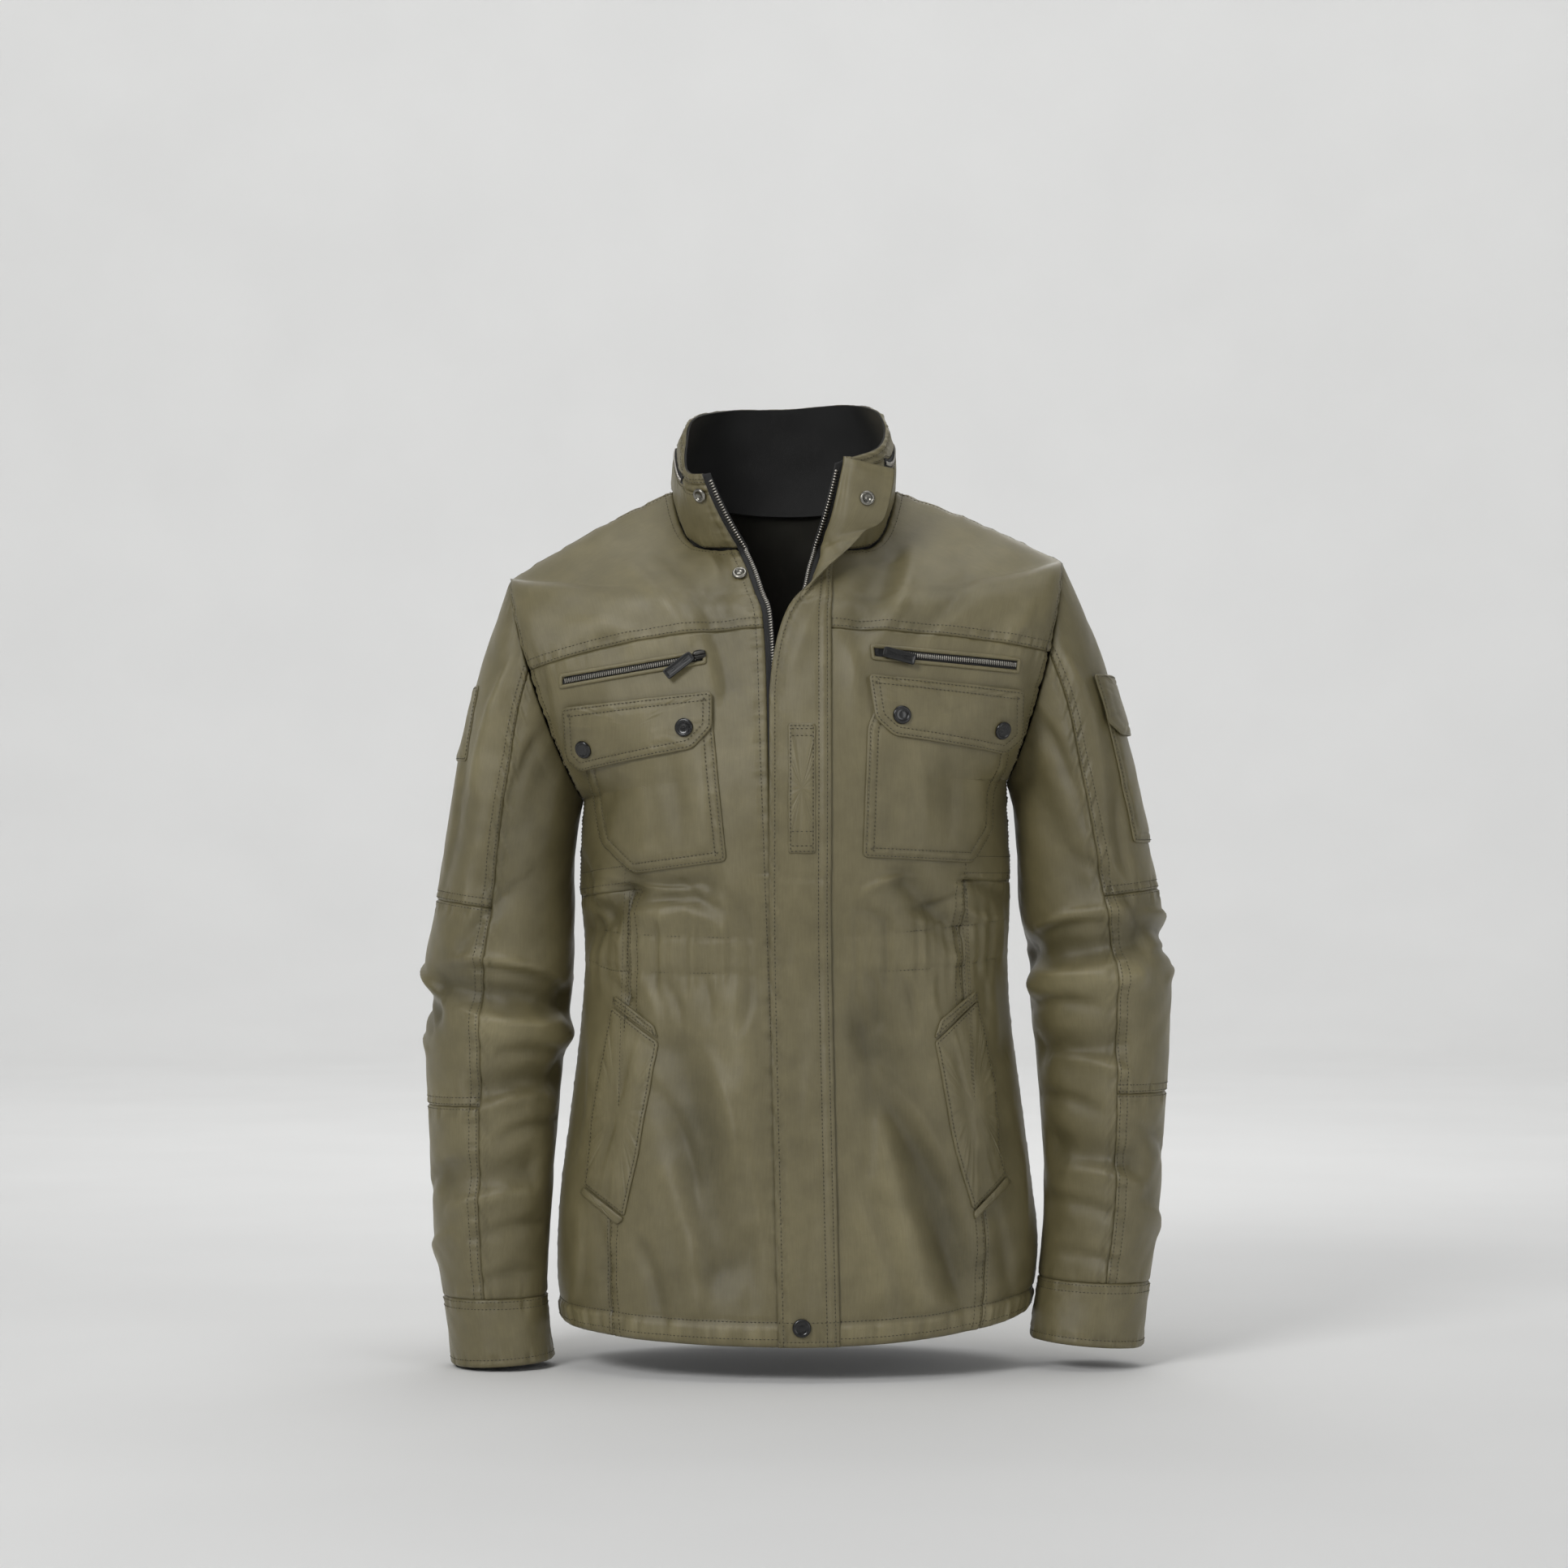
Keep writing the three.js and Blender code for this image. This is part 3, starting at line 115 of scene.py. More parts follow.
FRONT = Table("at x y z square lift", [
    [0, 0, -74, -57, 2, 10], [3, 0, -87, -74, 2, 5], [6, 0, -101, -92, 2.1, 3], [11, 2, -121, -124, 2.2, 2],
    [17, 6, -141, -245, 2.4, 2], [20, 8, -137, -328, 2.5, 2], [22.5, 9, -128, -398, 2.5, 2],
    [26, 9, -130, -498, 2.5, 2], [33, 10, -136, -704, 2.4, 2]])
BACK = Table("at x y z square lift", [
    [0, 0, 74, -12, 2, 2], [6, 0, 101, -72, 2.2, 2], [11, 2, 118, -132, 2.3, 2], [17, 6, 126, -245, 2.4, 2],
    [22.5, 9, 106, -398, 2.4, 2], [28, 9, 120, -556, 2.4, 2], [33, 10, 130, -700, 2.3, 2]])
FRONT.armhole, FRONT.ridge, BACK.armhole, BACK.ridge = -62, 0, 66, 6

RIGHT_SIDE = Table("at x z", [
    [17, 169, -262], [19.4, 172, -327], [22, 168, -398], [24, 172, -452], [26.5, 180, -520],
    [29.2, 189, -594], [31.6, 191, -659], [33, 186, -697]])
LEFT_SIDE = Table("at x z", [
    [17, 185, -246], [20.4, 188, -341], [22.5, 186, -398], [24.6, 190, -456], [26.8, 198, -517],
    [29.1, 206, -580], [30.7, 211, -624], [32, 209, -660], [33, 202, -688]])
RIGHT_SIDE.sign, RIGHT_SIDE.neck, RIGHT_SIDE.tip = -1, (95, -2, -3), (229, -18, -79)
LEFT_SIDE.sign, LEFT_SIDE.neck, LEFT_SIDE.tip = 1, (92, -2, -3), (230, -18, -64)
RIGHT_SIDE.zip = Table("at x", [
    [0, -31], [3, -23.5], [6, -17.5], [9, -12], [11, -9.5], [12.5, -8], [17, -5], [33, 12]])
LEFT_SIDE.zip = Table("at x", [[0, 22], [3, 17], [6, 13], [9, 4], [11, -3], [12.5, -7], [17, -4], [33, 13]])

RIGHT_SIDE.sleeve = Table("at outX outZ inX inZ y depth", [
    [0, 229, -79, 169, -262, -4, 64], [3, 256, -158, 174, -285, -4, 70], [6, 276, -240, 177, -318, -2, 72],
    [9, 292, -345, 177, -362, 0, 71], [11, 303, -405, 178, -410, 0, 70], [13, 301, -458, 184, -458, -2, 67],
    [15, 299, -516, 189, -514, -6, 63], [18, 294, -610, 196, -606, -14, 56], [20, 285, -674, 198, -673, -20, 49],
    [22, 278, -731, 192, -726, -25, 47]])
LEFT_SIDE.sleeve = Table("at outX outZ inX inZ y depth", [
    [0, 230, -64, 185, -246, -4, 64], [3, 264, -142, 191, -270, -4, 70], [6, 287, -225, 194, -305, -2, 72],
    [9, 312, -336, 196, -350, 0, 71], [11, 323, -392, 203, -398, 0, 70], [13, 322, -447, 207, -447, -2, 67],
    [15, 318, -505, 212, -504, -6, 63], [18, 312, -600, 216, -595, -14, 56], [20, 303, -662, 210, -658, -20, 49],
    [22, 298, -716, 202, -708, -25, 47]])
COLLAR_TOP = Table("at x y z", [
    [0, -62, -84, 4], [1, -69, -82, 3], [4.2, -84, -64, 8], [6.6, -85, -40, 31], [9, -80, -8, 57],
    [13, -52, 44, 70], [17, 0, 62, 73], [21, 54, 46, 75], [25, 79, -4, 64], [27.4, 85, -34, 44],
    [29.8, 78, -62, 27], [33, 49, -84, 15], [34, 41, -86, 12]])
STORM_FLAP = Table("at x backX backY backZ", [
    [0, 39, 77, -17, 12], [2, 39, 63, -14, 8], [4, 38, 50, -11, 7], [6, 38, 38, -8, 7], [8, 38, 26, -5, 6],
    [10, 37, 15, -3, 4], [12, 37, 5, -1, 1], [14, 37, 0, 0, 0], [17, 37, 0, 0, 0], [22, 37, 0, 0, 0],
    [33, 44, 0, 0, 0]])
STORM_FLAP_ON_COLLAR = Table("at row backX backY backZ", [
    [0, 0, 79, 20, -10], [1, 2, 80, 14, -10], [2, 4, 81, 2, -4]])
print("front length at the centre:", FRONT.read("z", 0) - FRONT.read("z", HEM_ROW), "mm")

# %% [markdown]
# A worn panel is a curved surface. Across the body each row is a rounded arc from one side seam over
# the middle to the other, and down the body the shoulder seam, the armhole and the side seam follow
# each other as its edge. Writing the panel as a function of `across` and `row` means that seams, folds,
# pockets and thread can all ask the same function where the cloth is.

# %% The body's surface
def stack(x, y, z):
    return np.stack(np.broadcast_arrays(x, y, z), axis=-1).astype(float)


def unit(v):
    return v / np.maximum(np.linalg.norm(v, axis=-1, keepdims=True), 1e-9)


def run_along(points):
    """The length along a line of points up to each of them."""
    return np.concatenate([[0], np.cumsum(np.linalg.norm(np.diff(points, axis=0), axis=1))])


def at_runs(points, run, at):
    """Points of the line at the lengths `at`."""
    return np.stack([np.interp(at, run, column) for column in points.T], -1)


def panel_edge(side, armhole, row):
    """Shoulder seam: a straight line with a low hump. Armhole: a half wave in depth. Side seam: by table."""
    row = np.asarray(row, float)
    (nx, ny, nz), (tx, ty, tz) = side.neck, side.tip
    ux, uz = side.read("x", UNDERARM_ROW), side.read("z", UNDERARM_ROW)
    t = np.clip(row / TIP_ROW, 0, 1)
    shoulder = stack(nx + (tx - nx) * t, ny + (ty - ny) * t, nz + (tz - nz) * t + 3 * np.sin(np.pi * t))
    t = np.clip((row - TIP_ROW) / (UNDERARM_ROW - TIP_ROW), 0, 1)
    armhole_line = stack(
        ux + (tx - ux) * (1 + np.cos(np.pi * t**1.25)) / 2,
        ty * (1 - t) + armhole * np.sin(np.pi * t),
        tz + (uz - tz) * (1 - np.cos(np.pi * t)) / 2,
    )
    seam = stack(side.read("x", row), 0, side.read("z", row))
    row = row[..., None]
    edge = np.where(row <= TIP_ROW, shoulder, np.where(row <= UNDERARM_ROW, armhole_line, seam))
    return edge * np.array([side.sign, 1, 1])


def body(face, across, row):
    """An arc from the middle to the edge: x by a sine, y by a superellipse, z by a power of the sine."""
    across, row = np.broadcast_arrays(np.asarray(across, float), np.asarray(row, float))
    right, left = panel_edge(RIGHT_SIDE, face.armhole, row), panel_edge(LEFT_SIDE, face.armhole, row)
    edge = np.where(across[..., None] < 0, right, left)
    x, y, z, square, lift = (face.read(name, row) for name in ("x", "y", "z", "square", "lift"))
    s = np.sin(np.minimum(np.abs(across), 1) * np.pi / 2)
    arc = np.sqrt(np.maximum(1 - s**square, 0))
    above_yoke = np.clip((YOKE_ROW - row) / (YOKE_ROW - TIP_ROW), 0, 1)
    roll = face.ridge * np.sin(np.pi * np.minimum(1, (1 - s) / 0.3)) * above_yoke
    return stack(
        x + (edge[..., 0] - x) * s,
        edge[..., 1] + (y - edge[..., 1]) * arc,
        z + (edge[..., 2] - z) * s**lift + roll,
    )


def across_at(face, x, row):
    """Where a row of a panel has a given x: the body formula turned round."""
    middle = face.read("x", row)
    right, left = (panel_edge(side, face.armhole, row)[..., 0] for side in (RIGHT_SIDE, LEFT_SIDE))
    edge = np.where(x < middle, right, left)
    return np.sign(x - middle) * 2 * np.arcsin(np.clip((x - middle) / (edge - middle), 0, 1)) / np.pi


def front_across(side, row, column):
    """Column 0 is the zip line, 1 the tape's edge, 5 the side panel's seam and 9 the side seam."""
    zip_x = side.zip.read("x", row) + side.sign * SEAM_GAP / 2
    at_zip, at_tape = across_at(FRONT, zip_x, row), across_at(FRONT, zip_x + side.sign * TAPE_WIDTH, row)
    seam = side.sign * SEAM_ACROSS
    column = np.asarray(column, float)
    inner = at_tape + (seam - at_tape) * (column - 1) / (SEAM_COLUMN - 1)
    outer = seam + (side.sign - seam) * (column - SEAM_COLUMN) / (FRONT_COLUMNS - SEAM_COLUMN)
    on_tape = at_zip + (at_tape - at_zip) * column
    return np.where(column < 1, on_tape, np.where(column <= SEAM_COLUMN, inner, outer))


def front_place(x, z):
    """The row and `across` of a place seen from the front, found by halving the range of rows."""
    low, high = np.zeros(np.shape(x)), np.full(np.shape(x), float(HEM_ROW))
    for _ in range(26):
        row = (low + high) / 2
        above = body(FRONT, across_at(FRONT, x, row), row)[..., 2] > z
        low, high = np.where(above, row, low), np.where(above, high, row)
    return across_at(FRONT, x, row), row


print("chest arc:", body(FRONT, np.linspace(-1, 1, 5), 17).round(0).tolist())

# %% [markdown]
# Cloth folds where it has too much length and where it is pulled. Each fold here is one line in a table:
# a soft ridge or trough from one place to another, bowed a little, and steeper on one side as real folds
# are. Listing them one by one keeps them uneven, which a noise texture never is.

# %% Folds
def fold_height(folds, x, z):
    """Sum of bells across bowed lines: height x exp(-(distance / width) squared), lower towards both ends."""
    total = np.zeros(np.shape(x))
    for x1, z1, x2, z2, bow, width, height in folds:
        dx, dz = x2 - x1, z2 - z1
        length = math.hypot(dx, dz)
        t = np.clip(((x - x1) * dx + (z - z1) * dz) / length**2, 0, 1)
        bend = bow * 4 * t * (1 - t)
        px, pz = x - x1 - t * dx + bend * dz / length, z - z1 - t * dz - bend * dx / length
        side = np.sign(px * dz - pz * dx)
        distance = np.hypot(px, pz) / (width * (1 + 0.3 * side))
        total += height * np.exp(-(distance**2)) * (0.45 + 0.55 * np.sin(np.pi * t))
    return total


def main_folds(folds, x, z):
    """The largest folds, as the frame's solids have them: a bell across a straight line."""
    total = np.zeros(np.shape(x))
    for x1, z1, x2, z2, width, height in folds:
        dx, dz = x2 - x1, z2 - z1
        t = np.clip(((x - x1) * dx + (z - z1) * dz) / (dx * dx + dz * dz), 0, 1)
        total += height * np.exp(-(((x - x1 - t * dx) ** 2 + (z - z1 - t * dz) ** 2) / width**2))
    return total


def ripple(along, seed, lengths=(6.5, 9.5, 15.0, 27.0)):
    """Uneven puckers along a seam: sine waves of different lengths, scaled to about one."""
    phase = np.random.default_rng(seed).uniform(0, 2 * np.pi, len(lengths))
    return sum(np.sin(2 * np.pi * along / length + p) for length, p in zip(lengths, phase)) / 2.2


def unrest(x, z, seed, size=45.0):
    """Slow unevenness of worn cloth: the sum of sine waves in seven directions, about plus or minus one."""
    rng = np.random.default_rng(seed)
    total = np.zeros(np.shape(x))
    for k in range(7):
        angle, length, phase = rng.uniform(0, np.pi), size * rng.uniform(0.45, 1.6), rng.uniform(0, 6.28)
        along = x * math.cos(angle) + z * math.sin(angle)
        total += np.sin(along * 2 * np.pi / length + phase) * length / size
    return total / 4


FRONT_MAIN = [  # x1, z1, x2, z2, width, height
    (-66, -334, -128, -338, 12, -5), (-128, -338, -160, -372, 13, -6), (-100, -356, -150, -340, 11, 4),
    (-56, -96, -40, -170, 11, -4), (-86, -470, -50, -640, 20, -5), (-40, -430, -24, -600, 16, 3),
    (100, -330, 138, -372, 12, -6), (72, -450, 142, -650, 20, -6), (76, -530, 114, -668, 14, 3.5),
    (84, -62, 62, -118, 14, -4)]
BACK_MAIN = [
    (-120, -150, -60, -350, 24, -6), (130, -140, 70, -350, 24, -6), (-130, -372, 40, -380, 16, -6),
    (-20, -404, 140, -396, 16, -5), (-30, -440, -52, -640, 22, 5), (70, -450, 92, -650, 22, -5)]
RIGHT_SIDE.main_folds = [  # on a sleeve x is the ring column: 5 in front, 11 outside, 17 behind
    (1, -432, 8.5, -414, 13, -7), (0, -458, 6, -450, 12, 5), (9, -438, 13.5, -408, 13, -6),
    (1, -492, 6, -500, 13, -6), (3, -566, 8, -576, 14, -4), (12, -420, 19, -446, 16, -5),
    (4, -250, 6, -330, 20, -4)]
LEFT_SIDE.main_folds = [
    (0, -392, 7.5, -380, 13, -7), (1, -416, 7, -408, 12, 5), (8, -362, 12.5, -384, 13, -6),
    (1, -470, 6, -464, 13, -5), (2, -548, 7, -560, 14, -5), (12, -400, 19, -430, 16, -5),
    (3, -250, 5, -330, 20, -4)]

FRONT_FOLDS = [  # x1, z1, x2, z2, bow, width, height
    (-150, -322, -70, -336, -6, 4, 2.2), (-128, -352, -62, -346, 5, 5, -1.8), (-100, -348, -52, -366, 3, 4, 1.2),
    (-168, -350, -140, -376, 4, 4, 2.0), (-84, -330, -50, -352, -4, 4, -1.4), (-178, -300, -160, -350, 5, 6, -2.4),
    (-60, -130, -48, -186, 3, 5, -1.6), (-100, -60, -60, -128, 6, 6, -1.8), (-128, -70, -80, -134, 5, 7, 1.3),
    (-170, -120, -110, -138, 5, 8, 1.6), (-205, -150, -196, -215, 4, 8, -2.2), (-60, -44, -44, -86, 2, 4, -1.6),
    (-74, -46, -52, -96, 4, 5, 1.5), (-146, -408, -118, -440, 3, 4, -1.4), (-96, -410, -84, -448, 3, 4, -1.5),
    (-66, -408, -60, -440, 2, 4, -1.3), (-30, -406, -34, -448, 3, 5, -1.6), (-116, -408, -104, -452, 4, 5, 1.4),
    (-104, -500, -74, -600, 8, 9, -2.2), (-62, -470, -40, -560, 6, 8, 1.8), (-96, -560, -70, -672, 7, 9, 2.0),
    (-34, -560, -24, -668, 4, 8, -1.8), (-118, -620, -98, -690, 4, 6, -1.5), (-152, -610, -144, -690, 3, 6, -1.6),
    (-172, -440, -178, -560, 5, 7, -2.0), (-170, -600, -176, -680, 3, 6, 1.4), (-45, -340, -30, -372, 3, 5, -1.6),
    (62, -338, 104, -326, 4, 4, 1.8), (96, -352, 140, -340, -5, 4, -1.7), (112, -362, 150, -382, 4, 4, 1.6),
    (150, -330, 180, -344, 3, 5, -2.2), (146, -352, 178, -360, -3, 4, 1.6), (60, -352, 84, -366, 3, 4, -1.4),
    (70, -406, 76, -446, 3, 4, -1.5), (96, -405, 106, -446, 3, 4, -1.6), (120, -404, 124, -440, -3, 4, 1.3),
    (160, -402, 164, -440, 3, 5, -1.6), (178, -400, 184, -470, 4, 6, -1.9), (60, -430, 66, -560, 6, 9, -1.9),
    (70, -480, 130, -560, 8, 8, 2.0), (92, -520, 146, -632, 8, 9, -2.4), (58, -590, 84, -680, 5, 8, 1.8),
    (120, -600, 148, -684, 5, 7, -1.6), (172, -600, 186, -680, 3, 7, -1.8), (190, -520, 196, -640, 4, 7, 1.5),
    (104, -66, 70, -140, 6, 7, 1.6), (150, -80, 110, -128, 5, 8, -1.5), (200, -110, 176, -135, 3, 7, 1.4),
    (206, -150, 200, -220, 4, 8, -2.2), (50, -140, 58, -186, 3, 6, 1.4), (178, -250, 184, -300, 3, 7, -1.8)]
BACK_FOLDS = [
    (-150, -110, -95, -260, 12, 9, 2.2), (150, -104, 100, -250, -12, 9, 2.2), (-176, -170, -140, -260, 6, 8, -2.6),
    (184, -160, 150, -250, -6, 8, -2.6), (-90, -60, -120, -130, 5, 9, 1.6), (96, -56, 126, -124, -5, 9, 1.6),
    (-40, -170, -20, -330, 8, 10, -2.0), (46, -180, 26, -320, -8, 10, 1.8), (-110, -340, -20, -352, -6, 6, 2.4),
    (0, -362, 110, -352, 5, 6, 2.4), (-100, -392, 10, -404, 5, 6, 2.0), (20, -382, 150, -376, -5, 6, -2.2),
    (-150, -356, -90, -366, 4, 6, -2.4), (110, -366, 166, -360, 3, 6, 2.0), (-90, -420, -60, -560, 8, 9, -2.4),
    (-10, -420, 10, -600, 9, 10, -2.0), (40, -430, 60, -600, 9, 9, 2.4), (120, -420, 138, -600, 8, 9, -2.2),
    (-140, -430, -130, -620, 7, 9, 2.0), (-100, -600, -90, -690, 4, 8, 1.8), (30, -620, 40, -692, 4, 8, -1.8),
    (100, -610, 112, -690, 4, 8, 1.6)]
RIGHT_SIDE.folds = [
    (0.5, -424, 8, -402, 8, 5, -2.4), (1, -444, 7, -434, -6, 4, 2.4), (2, -410, 7.4, -392, 5, 4, 1.9),
    (8.4, -428, 13, -396, 6, 5, 2.4), (9.4, -452, 13, -430, 5, 5, -2.2), (10, -470, 13.5, -456, 4, 5, 1.7),
    (0, -476, 5, -470, 5, 5, -2.2), (2, -506, 6.4, -520, 5, 5, 2.2), (0.5, -530, 5, -540, 5, 6, -2.0),
    (3, -586, 8, -600, 5, 6, 2.0), (1, -612, 6.2, -622, 5, 6, -1.8), (7, -560, 11, -590, 5, 7, -1.8),
    (8, -620, 12, -650, 5, 7, 1.8), (3, -176, 6, -286, 10, 9, -2.2), (6.6, -130, 8, -250, 8, 10, 1.8),
    (10, -190, 9.2, -330, -8, 10, -2.0), (11.5, -230, 12, -372, 8, 9, 1.8), (4.5, -330, 7.5, -392, 6, 8, -2.2),
    (13, -410, 19, -424, 8, 6, 2.4), (14, -440, 20, -470, 8, 6, -2.6), (15, -390, 21, -410, 8, 6, 2.0),
    (14, -150, 16, -330, 10, 11, -2.4), (17, -180, 17.5, -320, 8, 10, 1.8), (13, -520, 18, -548, 8, 8, -2.4),
    (14, -580, 19, -610, 8, 8, 2.2), (15, -640, 19.5, -656, 5, 7, -2.0), (2, -650, 7, -662, 4, 5, -1.5)]
LEFT_SIDE.folds = [
    (0.5, -384, 7, -366, 8, 5, -2.4), (1, -402, 6.6, -394, -6, 4, 2.4), (2, -368, 7, -352, 5, 4, 1.9),
    (8, -356, 12.5, -372, 6, 5, 2.4), (8.6, -388, 12.8, -398, 5, 5, -2.2), (9.4, -410, 13, -402, 4, 5, 1.7),
    (0, -436, 5, -430, 5, 5, -2.2), (2, -476, 6.6, -486, 5, 5, 2.2), (0.5, -508, 5, -516, 5, 6, -2.0),
    (3, -566, 7.6, -580, 5, 6, 2.0), (1, -592, 6.2, -604, 5, 6, -1.8), (7, -530, 11, -560, 5, 7, -1.8),
    (8, -600, 12, -630, 5, 7, 1.8), (3, -166, 5.6, -276, 10, 9, -2.2), (6.2, -120, 7.2, -236, 8, 10, 1.8),
    (8, -250, 7.6, -340, -6, 8, -2.0), (5, -310, 7.5, -352, 6, 8, -2.2), (13, -390, 19, -404, 8, 6, 2.4),
    (14, -420, 20, -450, 8, 6, -2.6), (15, -370, 21, -390, 8, 6, 2.0), (15, -150, 16.4, -310, 10, 11, -2.4),
    (17, -170, 17.5, -300, 8, 10, 1.8), (13, -500, 18, -528, 8, 8, -2.4), (14, -560, 19, -590, 8, 8, 2.2),
    (15, -620, 19.5, -636, 5, 7, -2.0), (2, -634, 7, -646, 4, 5, -1.5)]
# The drawcord casing at the waist: its upper and lower seam by x, where it gathers the cloth.
CASING = Table("at top bottom", [
    [-175, -371, -396], [-157, -371, -397], [-120, -373, -403], [-45, -375, -404], [0, -375, -404],
    [66, -372, -403], [137, -368, -399], [183, -361, -392], [200, -360, -391]])

MAIN_SHARE, FOLD_SHARE = 1.35, 1.9  # how much deeper than in the tables the worn folds are


def groove(distance, width=1.5):
    return np.exp(-((distance / width) ** 2))


def front_height(x, z):
    """How far the front's cloth stands off its smooth form: folds, unrest, and the gathered casing."""
    top, bottom = CASING.read("top", x), CASING.read("bottom", x)
    beyond = np.maximum(np.maximum(z - top, bottom - z), 0)
    gather = 1.2 * ripple(x, 3, (8.5, 12.5, 21.0, 37.0)) * np.exp(-((beyond / 16) ** 2))
    band = 1.0 * np.exp(-(((z - (top + bottom) / 2) / 14) ** 4)) - 1.1 * (groove(z - top) + groove(z - bottom))
    beside_flap = np.clip((np.abs(x - 13) - 27) / 14, 0, 1)
    return (MAIN_SHARE * main_folds(FRONT_MAIN, x, z) + FOLD_SHARE * fold_height(FRONT_FOLDS, x, z)
            + 0.7 * unrest(x, z, 11) + gather + band) * beside_flap


def back_height(x, z):
    beyond = np.maximum(np.abs(z + 388) - 15, 0)
    gather = 1.1 * ripple(x, 5, (9.5, 13.5, 24.0, 41.0)) * np.exp(-((beyond / 18) ** 2))
    casing = -1.1 * (groove(z + 372) + groove(z + 404))
    return (MAIN_SHARE * main_folds(BACK_MAIN, x, z) + FOLD_SHARE * fold_height(BACK_FOLDS, x, z)
            + 0.8 * unrest(x, z, 12) + gather + casing)


def widened(folds):
    """A sleeve's folds with their ring columns turned into millimetres."""
    return [(x1 * COLUMN_WIDTH, z1, x2 * COLUMN_WIDTH, *rest) for x1, z1, x2, *rest in folds]


def sleeve_height(side, column, z):
    """The same on a sleeve, whose last ring column meets the first."""
    angle = np.pi * column / HALF_RING
    total = 0.7 * unrest(40 * np.cos(angle), z + 70 * np.sin(angle), 13)
    for turn in (-2 * HALF_RING, 0, 2 * HALF_RING):
        x = (column + turn) * COLUMN_WIDTH
        total = total + MAIN_SHARE * main_folds(widened(side.main_folds), x, z)
        total = total + FOLD_SHARE * fold_height(widened(side.folds), x, z)
    return total


print("folds:", [len(folds) for folds in (FRONT_FOLDS, BACK_FOLDS, RIGHT_SIDE.folds, LEFT_SIDE.folds)])

# %% [markdown]
# A sewn panel is a thin shell: its face, its lining side a few millimetres behind, and a rim. At each
# seam the cloth turns in, so the face drops towards the panel's edge, and beside it a row of stitches
# pulls a shallow groove and small puckers. The grid has extra lines close to the edges, where all this
# happens, and wider cells elsewhere.

# %% From grids to panels
def grid_normals(points, outward):
    """Cross product of the differences down and across a grid, turned to agree with `outward`."""
    normals = unit(np.cross(np.gradient(points, axis=1), np.gradient(points, axis=0)))
    return normals * (1 if (normals * outward).sum() > 0 else -1)


def run_lengths(points, axis):
    """Length along each grid line from its first point, in millimetres."""
    steps = np.linalg.norm(np.diff(points, axis=axis), axis=-1)
    return np.concatenate([np.zeros_like(np.take(steps, [0], axis)), np.cumsum(steps, axis)], axis)


def lines(start, stop, length, step, close=(0, 0.5, 1.2, 2.2, 3.6, 5.4)):
    """Values from start to stop: a few lines close to both ends, and even steps between."""
    close = np.array(close)
    middle = np.linspace(close[-1], length - close[-1], max(3, round((length - 2 * close[-1]) / step) + 1))
    return start + (stop - start) * np.concatenate([close[:-1], middle, length - close[:-1][::-1]]) / length


def seam_relief(distance, along, stitched, seed):
    """The edge turns in over about a millimetre. Stitches 6.5 mm from it pull a groove, and puckers."""
    turned = -1.2 * groove(distance, 1.0) - 0.3 * groove(distance, 4.0)
    pucker = ripple(along, seed) * np.exp(-(((distance - 4.5) / 6) ** 2))
    return turned + (0.7 * pucker - 0.6 * groove(distance - 6.5, 1.4) if stitched else 0.3 * pucker)


def hem_relief(distance, along, seed, hem):
    """A hem is a turned-up band with padding in it: a low even hump, puckered, below a stitched groove."""
    padded = np.exp(-(((distance - hem * 0.52) / (hem * 0.44)) ** 4))
    return (1.6 + 0.9 * ripple(along, seed, (8, 13, 21, 34))) * padded - 1.5 * groove(distance - hem, 1.5)


def ring_faces(rows, sides):
    """Points numbered ring after ring, the number that follows each round its ring, and the quads between."""
    number = np.arange(rows * sides).reshape(rows, sides)
    following = np.roll(number, -1, 1)
    return number, following, np.stack([number[:-1], following[:-1], following[1:], number[1:]], -1).reshape(-1, 4)


def split(quads):
    """Each quad as two triangles."""
    return np.concatenate([quads[:, [0, 1, 2]], quads[:, [0, 2, 3]]])


def fan(ring, following, tip):
    """Triangles from a ring to one point."""
    return np.stack([ring, following, np.full(len(ring), tip)], -1)


def shell_mesh(name, outer, inner, outward, uv, keep, fold_shade_and_edge_wear):
    """One closed shell: the face, the same grid behind it, and a rim wherever a kept cell has no neighbour."""
    rows, columns = outer.shape[:2]
    number = np.arange(rows * columns).reshape(rows, columns)
    cells = np.stack([number[:-1, :-1], number[:-1, 1:], number[1:, 1:], number[1:, :-1]], -1)
    cells = cells[keep]
    normal = np.cross(outer[1:, :-1] - outer[:-1, :-1], outer[:-1, 1:] - outer[:-1, :-1])
    if (normal * outward[:-1, :-1]).sum() > 0:
        cells = cells[:, ::-1]
    count = rows * columns
    start, end = cells.ravel(), np.roll(cells, -1, axis=1).ravel()
    lone = ~np.isin(start.astype(np.int64) * count + end, end.astype(np.int64) * count + start)
    start, end = start[lone], end[lone]
    rim = np.stack([end, start, start + count, end + count], -1)
    faces = np.concatenate([cells, cells[:, ::-1] + count, rim])
    used, faces = np.unique(faces, return_inverse=True)
    faces = faces.reshape(-1, 4)
    points = np.concatenate([outer.reshape(-1, 3), inner.reshape(-1, 3)])[used]
    flat = np.concatenate([uv.reshape(-1, 2)] * 2)[used]
    piece = make_mesh(name, points, faces, flat, np.concatenate([fold_shade_and_edge_wear.ravel()] * 2)[used])
    behind = np.zeros(len(faces), np.int32)
    behind[len(cells):2 * len(cells)] = 1
    piece.data.polygons.foreach_set("material_index", behind)
    return piece


